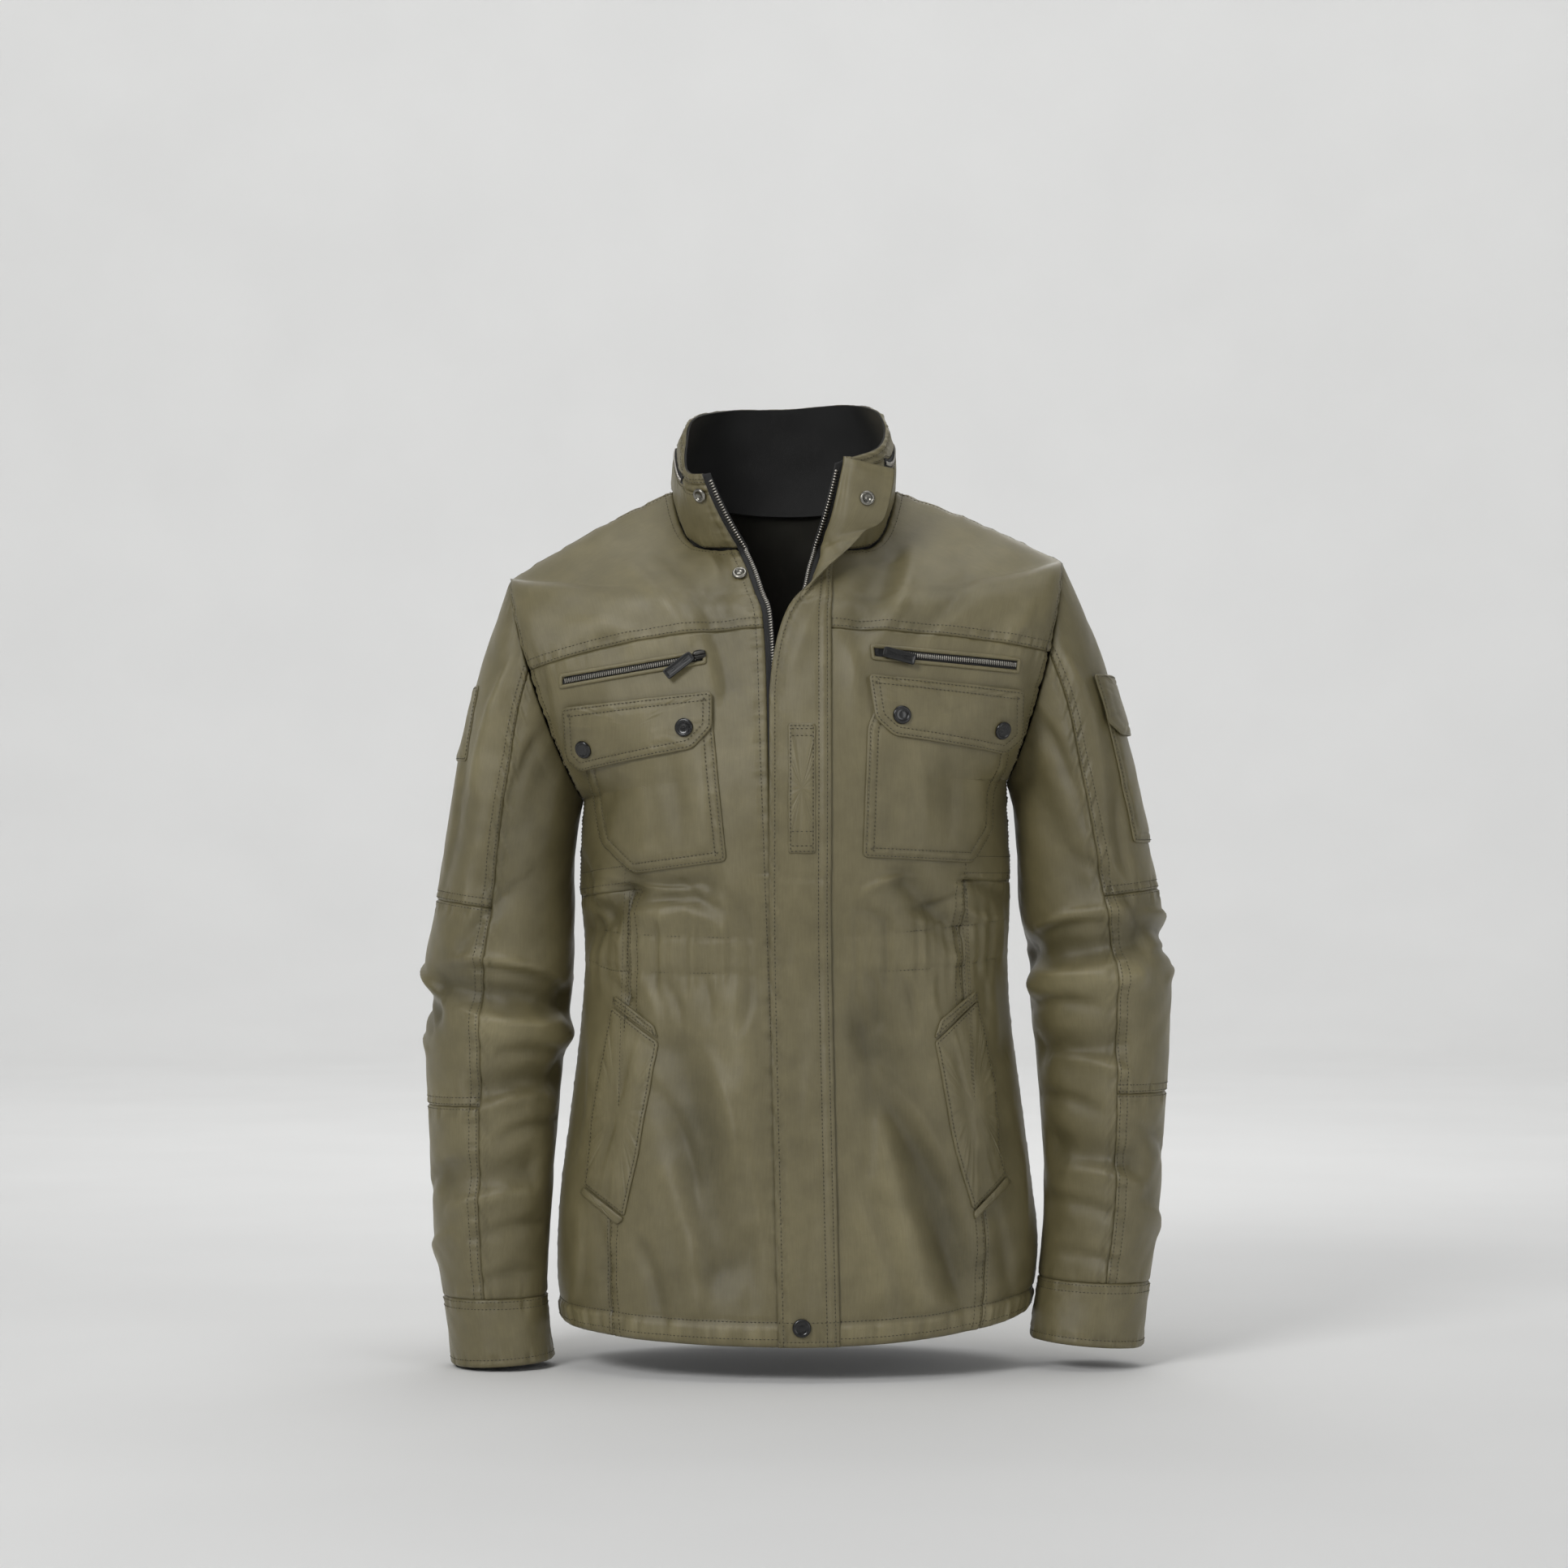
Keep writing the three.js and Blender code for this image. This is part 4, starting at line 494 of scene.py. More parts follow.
def make_mesh(name, points, faces, flat=None, fold_shade_and_edge_wear=None):
    """An object at the origin from points in millimetres and faces with the same number of corners each.

    The last argument becomes a point attribute for the cloth's colour: painted shade, positive on ridges for a painted
    highlight, negative in folds for painted shade."""
    faces = np.asarray(faces, np.int32)
    mesh = bpy.data.meshes.new(name)
    mesh.vertices.add(len(points))
    mesh.vertices.foreach_set("co", (np.asarray(points) * 0.001).astype(np.float32).ravel())
    mesh.loops.add(faces.size)
    mesh.loops.foreach_set("vertex_index", faces.ravel())
    mesh.polygons.add(len(faces))
    mesh.polygons.foreach_set("loop_start", np.arange(0, faces.size, faces.shape[1], dtype=np.int32))
    mesh.polygons.foreach_set("use_smooth", np.ones(len(faces), bool))
    if flat is not None:
        layer = mesh.uv_layers.new(name="cloth")
        layer.data.foreach_set("uv", (flat[faces.ravel()] * 0.001).astype(np.float32).ravel())
    shade = mesh.attributes.new("fold_shade_and_edge_wear", "FLOAT", "POINT")
    shade.data.foreach_set("value", (np.zeros(len(points)) if fold_shade_and_edge_wear is None else fold_shade_and_edge_wear).astype(np.float32).ravel())
    mesh.update(calc_edges=True)
    mesh.validate()
    piece = bpy.data.objects.new(name, mesh)
    bpy.context.collection.objects.link(piece)
    return piece


ON_JACKET = "jacket"
HEM_DEPTH = 20
CLOTH_PIECES = []


def settle(piece, nodes, slot_name, body_name=ON_JACKET):
    """Hides the frame nodes that a piece stands for and hangs it on the body it moves with. Its slot name is not used.
    """
    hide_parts(*nodes)
    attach(piece, body_name)


class Panel:
    """A cut panel: its face as a grid, with the distance of every point from each of its edges."""

    def __init__(self, name, surface, rows, columns, height, nodes, wall=CLOTH, stitched="", outward=None,
                 notch=None, out=0.0, sewn=True, hem=0, slot_name="cloth"):
        u, v = np.meshgrid(rows, columns, indexing="ij")
        base = surface(u, v)
        outward = base * np.array([1, 1, 0]) if outward is None else outward(base, u, v)
        normals = grid_normals(base, outward)
        across, down = run_lengths(base, 1), run_lengths(base, 0)
        edges = {"left": (across, down), "right": (across[:, -1:] - across, down),
                 "top": (down, across), "bottom": (down[-1:] - down, across)}
        keep = np.ones((len(rows) - 1, len(columns) - 1), bool)
        if notch:  # an L-shaped panel: below the notch's row its right edge is the notch's column
            row, column = np.searchsorted(rows, notch[0]), np.searchsorted(columns, notch[1])
            below, past = down - down[row:row + 1], across - across[:, column:column + 1]
            edges["right"] = (np.where(below > 0, -past, np.minimum(edges["right"][0], np.hypot(below, past))), down)
            edges["bottom"] = (np.where(past > 0, -below, edges["bottom"][0]), across)
            keep = (rows[:-1, None] < notch[0]) | (columns[None, :-1] < notch[1])
        relief = 0
        if sewn:
            for number, (edge, (distance, along)) in enumerate(edges.items()):
                seed = 100 * len(name) + number
                relief = relief + seam_relief(np.maximum(distance, 0), along, edge in stitched, seed)
        if hem:
            relief = relief + hem_relief(down[-1:] - down, across, 100 * len(name) + 9, hem)
        form = height(base, u, v) + out
        lift = form + relief
        self.name, self.normals, self.edges, self.rows = name, normals, edges, rows
        self.face = base + normals * lift[..., None]
        behind = base + normals * (form - wall)[..., None]
        uv = np.stack([across - across.mean(1, keepdims=True), down], -1)
        # Painted shade for the cloth's colour: lighter where the cloth stands out and on ridges, darker in folds and
        # seam grooves.
        fold_shade_and_edge_wear = np.clip((form - out) / 13 + relief / 4, -1, 1)
        self.piece = shell_mesh(name, self.face, behind, normals, uv, keep, fold_shade_and_edge_wear)
        cell = np.linalg.norm(np.cross(base[1:, :-1] - base[:-1, :-1], base[:-1, 1:] - base[:-1, :-1]), axis=-1)
        self.area = (cell * keep).sum() * 1e-6
        self.size = (across[:, -1].max() * 0.001 + 0.0005, down[-1].max() * 0.001 + 0.0005)
        CLOTH_PIECES.append((self.piece, self.size, self.area))
        settle(self.piece, nodes, slot_name)

    def beside(self, edge, distance):
        """The line on the face that runs along one edge at a distance in millimetres, with its normals."""
        away, face, normals = self.edges[edge][0], self.face, self.normals
        if edge in ("top", "bottom"):
            away, face, normals = away.T, face.transpose(1, 0, 2), normals.transpose(1, 0, 2)
        if edge in ("right", "bottom"):
            away, face, normals = away[:, ::-1], face[:, ::-1], normals[:, ::-1]
        k = np.clip((away < distance).sum(1), 1, away.shape[1] - 1)[:, None]
        a0, a1 = np.take_along_axis(away, k - 1, 1), np.take_along_axis(away, k, 1)
        t = np.clip((distance - a0) / np.maximum(a1 - a0, 1e-6), 0, 1)[..., None]
        pick = lambda grid, i: np.take_along_axis(grid, i[..., None], 1)
        line = pick(face, k - 1) * (1 - t) + pick(face, k) * t
        return line[:, 0], unit(pick(normals, k))[:, 0]


print("panel tools ready")

# %% [markdown]
# Each front is cut as a yoke over the shoulder, a long front panel with a step in it, and a side panel.
# Their rows run from the neckline to the hem and their columns from the zip tape to the side seam.

# %% Fronts and side panels
STEP = 2.5  # millimetres between the lines of a panel's grid


def front_surface(side):
    return lambda row, column: body(FRONT, front_across(side, row, column), row)


def front_lift(base, row, column):
    fade = np.clip(np.minimum(column, FRONT_COLUMNS - column) / 2, 0, 1) * np.clip(row / 1.5, 0, 1)
    return front_height(base[..., 0], base[..., 2]) * fade


def closer_at(values, middle, length):
    """Grid lines with more of them within 4 mm of one place, where the step's seam turns in."""
    near = np.array([-4, -2.5, -1.3, -0.5, 0, 0.5, 1.3, 2.5, 4]) * (values[-1] - values[0]) / length + middle
    return np.unique(np.concatenate([values[np.abs(values - middle) > 0.17], near]).round(6))


fronts = {}
for word, side in (("right", RIGHT_SIDE), ("left", LEFT_SIDE)):
    surface = front_surface(side)
    columns_wide = closer_at(lines(1, FRONT_COLUMNS, 235, STEP), SEAM_COLUMN, 235)
    rows_long = closer_at(lines(YOKE_ROW, HEM_ROW, 560, STEP * 1.15), SIDE_ROW, 560)
    fronts[word] = {
        "yoke": Panel(f"cloth_yoke_{word}", surface, lines(0, YOKE_ROW, 125, STEP),
                      lines(1, FRONT_COLUMNS, 215, STEP), front_lift, [f"yoke_{word}"], stitched="bottom left right"),
        "front": Panel(f"cloth_front_{word}", surface, rows_long, columns_wide, front_lift, [f"front_{word}"],
                       stitched="left right", notch=(SIDE_ROW, SEAM_COLUMN), hem=HEM_DEPTH),
        "side": Panel(f"cloth_side_{word}", surface, lines(SIDE_ROW, HEM_ROW, 380, STEP * 1.2),
                      lines(SEAM_COLUMN, FRONT_COLUMNS, 120, STEP), front_lift, [f"side_{word}"],
                      hem=HEM_DEPTH),
    }
    for panel in fronts[word].values():
        print(panel.name, len(panel.piece.data.polygons), "faces,", round(panel.area, 3), "square metres")

# %% [markdown]
# The back is one wide panel below a yoke. It has the same rows as the fronts, so that the side seams meet.

# %% Back
def back_surface(row, column):
    return body(BACK, column, row)


def back_lift(base, row, column):
    fade = np.clip((1 - np.abs(column)) * BACK_COLUMNS / 4, 0, 1)
    return back_height(base[..., 0], base[..., 2]) * fade


back_yoke = Panel("cloth_back_yoke", back_surface, lines(0, YOKE_ROW, 165, STEP * 1.3), lines(-1, 1, 500, STEP * 1.4),
                  back_lift, ["back_yoke"], stitched="bottom left right")
back = Panel("cloth_back", back_surface, lines(YOKE_ROW, HEM_ROW, 570, STEP * 1.5), lines(-1, 1, 520, STEP * 1.5),
             back_lift, ["back"], stitched="top", hem=HEM_DEPTH)
print("back:", len(back.piece.data.polygons), "faces")

# %% [markdown]
# A set-in sleeve starts as the armhole's own loop, which is tall and narrow and leans inwards, and turns
# into a plain ring a hand's breadth further down. Blending the two as offsets keeps the seam closed.

# %% Sleeves
ELBOW_ROW, FOREARM_ROW, CUFF_ROW, SLEEVE_ROWS = 9, 15, 20, 22


def sleeve_surface(side):
    """A ring's point: half cosine across and a sine in depth, plus the armhole loop's offset, fading out."""
    def ring(row, turn):
        out_x, out_z, in_x, in_z, y, depth = (side.sleeve.read(n, row) for n in "outX outZ inX inZ y depth".split())
        across = (1 - np.cos(turn)) / 2
        x, z = in_x + (out_x - in_x) * across, in_z + (out_z - in_z) * across
        return stack(side.sign * x, y - depth * np.sin(turn), z)

    def surface(row, column):
        column = np.mod(column, 2 * HALF_RING)
        turn = np.pi * column / HALF_RING
        loop = np.where((column <= HALF_RING)[..., None],
                        panel_edge(side, FRONT.armhole, UNDERARM_ROW - column),
                        panel_edge(side, BACK.armhole, TIP_ROW + column - HALF_RING))
        left = np.maximum(0, 1 - row / 5)[..., None]
        return ring(row, turn) + (loop - ring(np.zeros_like(row), turn)) * left * left * (3 - 2 * left)

    return surface


def sleeve_lift(side):
    def lift(base, row, column):
        return sleeve_height(side, np.mod(column, 2 * HALF_RING), base[..., 2]) * np.clip(row / 2, 0, 1)
    return lift


def ring_middle(side, row):
    """The middle of a sleeve's own ring at each row."""
    surface = sleeve_surface(side)
    return (surface(row, np.zeros_like(row)) + surface(row, np.full_like(row, HALF_RING))) / 2


SLEEVE_PARTS = {  # node, first and last row, length, first and last column, girth, stitched edges
    "upper": ("sleeve_upper", 0, ELBOW_ROW, 265, 6, 16, 190, "bottom left"),
    "elbow": ("sleeve_elbow", ELBOW_ROW, FOREARM_ROW, 170, 6, 16, 175, "top bottom left"),
    "lower": ("sleeve_lower", FOREARM_ROW, CUFF_ROW, 155, 6, 16, 150, "top left"),
    "under": ("sleeve_under", 0, CUFF_ROW, 410, 16, 28, 210, "right"),
    "cuff": ("cuff", CUFF_ROW, SLEEVE_ROWS, 55, 0, 22, 280, "top bottom"),
}
sleeves = {}
for word, side in (("right", RIGHT_SIDE), ("left", LEFT_SIDE)):
    def away_from_arm(base, row, column):
        return base - ring_middle(side, row)

    sleeves[word] = {
        part: Panel(f"cloth_{node}_{word}", sleeve_surface(side), lines(top, bottom, length, STEP),
                    lines(first, last, girth, STEP), sleeve_lift(side), [f"{node}_{word}"], stitched=stitched,
                    outward=away_from_arm)
        for part, (node, top, bottom, length, first, last, girth, stitched) in SLEEVE_PARTS.items()
    }
    print(word, "sleeve:", sum(len(p.piece.data.polygons) for p in sleeves[word].values()), "faces")

# %% [markdown]
# The standing collar hangs between two curves: the neck seam, which the body gives, and its own top
# edge. A zip for the hood runs round it, so the collar is cut in an upper and a lower band, and a
# black facing covers its inside.

# %% Collar
COLLAR_COLUMNS, COLLAR_BACK = 34, 17  # the ends of the round, and its middle behind
HOOD_ENDS = (5, 29)
HOOD_ZIP_HALF = 0.05  # half the zip's opening, as a share of the collar's height
COLLAR_STEP = 2.2


def neck_seam(column):
    top_row = np.zeros_like(column)
    right = body(FRONT, front_across(RIGHT_SIDE, top_row, column), top_row)
    behind = body(BACK, (column - FRONT_COLUMNS) / (COLLAR_BACK - FRONT_COLUMNS) - 1, top_row)
    left = body(FRONT, front_across(LEFT_SIDE, top_row, COLLAR_COLUMNS - column), top_row)
    at = column[..., None]
    return np.where(at < FRONT_COLUMNS, right, np.where(at > COLLAR_COLUMNS - FRONT_COLUMNS, left, behind))


def collar_point(height, column):
    """From the neck seam up to the top edge in a straight line, pushed outwards by a parabola of 5 mm."""
    height, column = np.broadcast_arrays(np.asarray(height, float), np.asarray(column, float))
    foot = neck_seam(column)
    top = stack(*(COLLAR_TOP.read(name, column) for name in "xyz"))
    outwards = unit(foot * np.array([1, 1, 0]))
    h = height[..., None]
    return foot + (top - foot) * h + outwards * 5 * 4 * h * (1 - h)


def hood_zip_height(column):
    """Half way up behind, and higher towards the two front ends."""
    return 0.5 + 0.3 * np.minimum(1, np.abs(column - COLLAR_BACK) / 12) ** 4


def collar_surface(low, high):
    """A band of the collar: row 0 at its upper edge and row 1 at its lower one."""
    return lambda row, column: collar_point(high(column) * (1 - row) + low(column) * row, column)


def collar_lift(base, row, column):
    x, y = base[..., 0], base[..., 1]
    round_neck = np.arctan2(x, -y) * 90
    return 0.6 * unrest(round_neck, base[..., 2], 21, 30) + 0.5 * ripple(round_neck, 22, (11, 17, 29)) * row**3


def zip_top(column):
    return hood_zip_height(column) + HOOD_ZIP_HALF


def zip_foot(column):
    return hood_zip_height(column) - HOOD_ZIP_HALF


def below_seam(column):
    """The facing starts a little lower than the neck seam, so that no gap shows inside."""
    return np.full_like(column, -0.09)


def flat(base, row, column):
    return 0 * row


def facing_lift(base, row, column):
    return 0.4 * unrest(base[..., 0], base[..., 2], 23, 30)


def closed_zip(base, row, column):
    """The low ridge of the closed teeth, along the middle of the tape."""
    return 0.7 * np.exp(-(((row - 0.5) / 0.16) ** 4))


round_columns = lines(1, COLLAR_COLUMNS - 1, 500, COLLAR_STEP)
collar_upper = Panel("cloth_collar_upper", collar_surface(zip_top, np.ones_like), lines(0, 1, 38, COLLAR_STEP),
                     round_columns, collar_lift, ["collar"], wall=COLLAR_CLOTH, stitched="top")
collar_lower = Panel("cloth_collar_lower", collar_surface(np.zeros_like, zip_foot), lines(0, 1, 55, COLLAR_STEP),
                     round_columns, collar_lift, ["collar"], wall=COLLAR_CLOTH, stitched="left right")
for word, (first, last) in (("right", (1, HOOD_ENDS[0])), ("left", (HOOD_ENDS[1], COLLAR_COLUMNS - 1))):
    Panel(f"cloth_collar_end_{word}", collar_surface(zip_foot, zip_top), lines(0, 1, 11, COLLAR_STEP, (0, 0.5, 1.5)),
          lines(first, last, 42, COLLAR_STEP), flat, ["collar"], wall=COLLAR_CLOTH)
Panel("cloth_collar_facing", collar_surface(below_seam, np.ones_like), lines(0, 1, 95, 3.2),
      lines(1, COLLAR_COLUMNS - 1, 480, 3.5), facing_lift, ["collar_facing"], wall=FACING_CLOTH, out=-2.4, sewn=False,
      slot_name="facing")
hood_tape = Panel("tape_hood_zip", collar_surface(zip_foot, zip_top), lines(0, 1, 10, 1.2, (0, 0.4, 1.2)),
                  lines(*HOOD_ENDS, 360, 2.4), closed_zip, ["hood_zip"], wall=TAPE_CLOTH, out=-0.6, sewn=False,
                  slot_name="zip_tape")
behind = collar_point(np.array([0, 1]), COLLAR_BACK)
print("collar height behind:", np.linalg.norm(behind[1] - behind[0]).round(), "mm")

# %% [markdown]
# The front zip stands open at the top, so its two tapes show: black ribbed strips, a little below the
# face of the cloth, that run down the collar and on down the fronts with a row of metal teeth each.

# %% Zip tapes
tapes = {}
tape_rows = np.unique(np.concatenate([np.linspace(-1, 0, 36), np.linspace(0, HEM_ROW, 240)]))
for word, side in (("right", RIGHT_SIDE), ("left", LEFT_SIDE)):
    def tape_surface(row, column):
        round_neck = column if side is RIGHT_SIDE else COLLAR_COLUMNS - column
        on_collar = collar_point(np.clip(-row, 0, 1), round_neck)
        on_front = body(FRONT, front_across(side, np.maximum(row, 0), column), np.maximum(row, 0))
        return np.where((row < 0)[..., None], on_collar, on_front)

    def tape_lift(base, row, column):
        return np.where(row < 0, 0, front_lift(base, np.maximum(row, 0), column))

    tapes[word] = Panel(f"tape_front_{word}", tape_surface, tape_rows, np.linspace(0, 1, 7), tape_lift,
                        [f"zip_tape_{word}"], wall=TAPE_CLOTH, out=-1.2, sewn=False, slot_name="zip_tape")
    print("tape", word, "is", tapes[word].size, "metres")

# %% [markdown]
# The storm flap is one long strip, sewn down the left front. Lower down it lies flat over the zip. At
# the top its free edge is turned back over collar and chest, so its inside shows. The turn is a simple
# sum: where the flap lies flat, plus the edge's way back times the square of the distance from the seam.

# %% Storm flap
FLAP_WIDE, FLAP_SEAT, FLAP_RISE = 50, 2.1, 8
grid_columns = np.arange(COLLAR_COLUMNS + 1.0)
zip_middle = hood_zip_height(grid_columns)
collar_rows = [np.ones_like(zip_middle), (1 + zip_middle + HOOD_ZIP_HALF) / 2, zip_middle + HOOD_ZIP_HALF,
               zip_middle - HOOD_ZIP_HALF, (zip_middle - HOOD_ZIP_HALF) / 2, np.zeros_like(zip_middle)]
collar_grid = collar_point(np.array(collar_rows), np.broadcast_to(grid_columns, (6, COLLAR_COLUMNS + 1)))
collar_grid_normals = grid_normals(collar_grid, collar_grid * np.array([1, 1, 0]))


def front_y(x, z):
    return body(FRONT, *front_place(x, z))[..., 1]


def on_front_row(x, row):
    return body(FRONT, across_at(FRONT, x, row), row)


def flap_rows(t):
    """The flap's line in each of its rows, first three on the collar and then one for each row of the front."""
    made = []
    for k in range(3):
        row = int(STORM_FLAP_ON_COLLAR.read("row", k))
        foot = collar_grid[row][32] * 0.6 + collar_grid[row][33] * 0.4
        along = unit((collar_grid[row][34] - foot) * np.array([1, 1, 0]))
        back_way = np.array([STORM_FLAP_ON_COLLAR.read(name, k) for name in ("backX", "backY", "backZ")])
        made.append((foot + along * FLAP_WIDE * t[:, None], collar_grid_normals[row][32], back_way))
    for row in range(HEM_ROW + 1):
        x = STORM_FLAP.read("x", row) - FLAP_WIDE * t
        row_at = np.full_like(t, row)
        point = on_front_row(x, row_at)
        lower, upper = np.minimum(row_at + 0.5, HEM_ROW), np.maximum(row_at - 0.5, 0)
        down = on_front_row(x, lower) - on_front_row(x, upper)
        normal = unit(np.cross(on_front_row(x - 1, row_at) - point, down))
        back_x, back_y, back_z = (STORM_FLAP.read(name, row) for name in ("backX", "backY", "backZ"))
        back_way = np.array([max(0, back_x), back_y, back_z])
        made.append((point, normal, back_way))
    lines_made = []
    for point, normal, back_way in made:
        rise = FLAP_RISE * 4 * t * (1 - t) * back_way[0] / 79
        line = point + normal * FLAP_SEAT + back_way * (t * t)[:, None]
        lines_made.append(line - np.stack([0 * t, rise, 0 * t], -1))
    return np.array(lines_made)


def through(rows, at):
    """A smooth curve through the rows of a grid: each point moves on a cubic with the neighbours' slopes."""
    last = len(rows) - 1
    slope = (rows[np.minimum(np.arange(last + 1) + 1, last)] - rows[np.maximum(np.arange(last + 1) - 1, 0)]) / 2
    i = np.clip(np.floor(at).astype(int), 0, last - 1)
    t = (at - i)[:, None, None]
    rise = t * t * (3 - 2 * t)
    return rows[i] * (1 - rise) + rows[i + 1] * rise + t * (1 - t) * ((1 - t) * slope[i] - t * slope[i + 1])


def flap_surface(row, column):
    return through(flap_rows(column[0]), row[:, 0])


FLAP_FOLDS = [  # away from the seam, z, and again for the other end, then bow, width and height
    (8, 20, 11, -46, 1, 2.6, 1.3), (15, 26, 19, -60, 1, 3, -1.2), (22, 22, 30, -50, -2, 4, 1.0),
    (32, 10, 46, -20, 2, 4, -0.9), (20, -52, 46, -66, 2, 4, 1.2), (12, -70, 40, -96, -2, 5, -1.2),
    (26, -84, 48, -112, 2, 4, 1.0), (18, -118, 34, -168, 2, 6, 0.9), (36, -150, 44, -196, -2, 5, -0.8),
    (20, -352, 34, -420, 3, 6, 0.9), (38, -380, 30, -470, 2, 6, -0.9), (16, -470, 24, -560, 2, 7, 0.8),
    (40, -500, 34, -610, 2, 6, 0.8), (20, -600, 28, -680, 2, 6, -0.8)]
TURNED_FOOT, TURNED_SHARE = -115, 1.5  # above this height the flap is turned back, and its folds are deeper


def flap_lift(base, row, column):
    away = column * FLAP_WIDE
    low = np.clip((row - 16) / 3, 0, 1)
    double_seam = -0.9 * (groove(away - 3.0, 1.2) + groove(away - 10.0, 1.2)) + 0.5 * groove(away - 6.5, 2.4)
    slack = 0.5 * unrest(away * 1.5, base[..., 2], 31, 40) * (0.4 + 0.6 * low)
    cross_seam = -1.1 * groove(base[..., 2] + 327) * low
    folded = fold_height(FLAP_FOLDS, away, base[..., 2]) * np.clip((FLAP_WIDE - away) / 8, 0, 1)
    return double_seam + slack + cross_seam + folded * np.where(base[..., 2] > TURNED_FOOT, TURNED_SHARE, 1)


def forwards(base, row, column):
    """Only the flat part says which way the flap's face looks; the turned part follows it."""
    return base * np.array([0, 1, 0]) * (row > 20)[..., None]


flap = Panel("cloth_storm_flap", flap_surface, lines(0, HEM_ROW + 3, 760, 2.6), lines(0, 1, FLAP_WIDE, 2.2),
             flap_lift, ["storm_flap"], wall=FLAP_CLOTH, out=FLAP_CLOTH / 2, stitched="right bottom top",
             outward=forwards)
print("storm flap:", [round(s, 3) for s in flap.size], "metres")

# %% [markdown]
# Pockets, flaps and bands are sewn onto the fronts, so their shape is an outline seen from the front.
# Each is made of rings from its outline to its middle: the rings near the edge lie parallel to it,
# where the cloth rolls down and the stitches run, and every point is set on the front's own surface.

# %% Pieces laid on the cloth
SMALL_STEP = 2.6  # between the points of an outline


def rounded(outline, radius, step=SMALL_STEP):
    """The outline with its corners cut to short curves, as points a few millimetres apart."""
    outline = np.array(outline, float)
    turn = np.cross(np.roll(outline, -1, 0) - outline, outline.mean(0) - outline)
    if turn.sum() < 0:
        outline = outline[::-1]
    before, after = np.roll(outline, 1, 0) - outline, np.roll(outline, -1, 0) - outline
    shorter = np.minimum(np.linalg.norm(before, axis=1), np.linalg.norm(after, axis=1))
    reach = np.minimum(radius, 0.4 * shorter)[:, None]
    start, end = outline + unit(before) * reach, outline + unit(after) * reach
    t = np.linspace(0, 1, 6)[None, :, None]
    curve = start[:, None] * (1 - t) ** 2 + outline[:, None] * 2 * t * (1 - t) + end[:, None] * t**2
    loop = curve.reshape(-1, 2)
    closed = np.vstack([loop, loop[:1]])
    run = run_along(closed)
    return at_runs(closed, run, np.linspace(0, run[-1], max(24, int(run[-1] / step)), endpoint=False))


def inset(loop, distance):
    """The loop moved inwards by a distance: each point along the normal of its neighbours' line."""
    along = unit(np.roll(loop, -1, 0) - np.roll(loop, 1, 0))
    return loop + np.stack([-along[:, 1], along[:, 0]], -1) * distance


def loop_area(loop):
    return 0.5 * abs(np.cross(loop, np.roll(loop, -1, 0)).sum())


def on_front(x, z, out=0.0):
    """Points on the front's folded cloth at places seen from the front, moved out along its normals."""
    x, z = np.broadcast_arrays(np.asarray(x, float), np.asarray(z, float))
    slope_x = (front_y(x + 1, z) - front_y(x - 1, z)) / 2
    slope_z = (front_y(x, z + 1) - front_y(x, z - 1)) / 2
    normal = unit(stack(slope_x, -1, slope_z))
    lift = front_height(x, z) + out
    return stack(x, front_y(x, z), z) + normal * np.asarray(lift)[..., None], normal


def on_sleeve(side):
    """The same on a sleeve, for places given as ring column and z; the row is found by halving."""
    surface = sleeve_surface(side)

    def place(column, z, out=0.0):
        column, z = np.broadcast_arrays(np.asarray(column, float), np.asarray(z, float))
        low, high = np.zeros(z.shape), np.full(z.shape, float(SLEEVE_ROWS))
        for _ in range(22):
            row = (low + high) / 2
            above = surface(row, column)[..., 2] > z
            low, high = np.where(above, row, low), np.where(above, high, row)
        point = surface(row, column)
        round_arm = surface(row, column + 0.1) - surface(row, column - 0.1)
        normal = unit(np.cross(round_arm, surface(row + 0.1, column) - surface(row - 0.1, column)))
        normal = normal * np.sign((normal * (point - ring_middle(side, row))).sum(-1, keepdims=True))
        lift = sleeve_height(side, column, point[..., 2]) * np.clip(row / 2, 0, 1) + out
        return point + normal * np.asarray(lift)[..., None], normal
    return place


def outwards(faces, points, corners, normal):
    """The faces, turned over where the first ones look against the cloth's normals."""
    a, b, c = (points[corners[:, k]] for k in range(3))
    looks = (np.cross(b - a, c - a).sum(0) * normal.reshape(-1, 3).sum(0)).sum()
    return faces[:, ::-1] if looks < 0 else faces


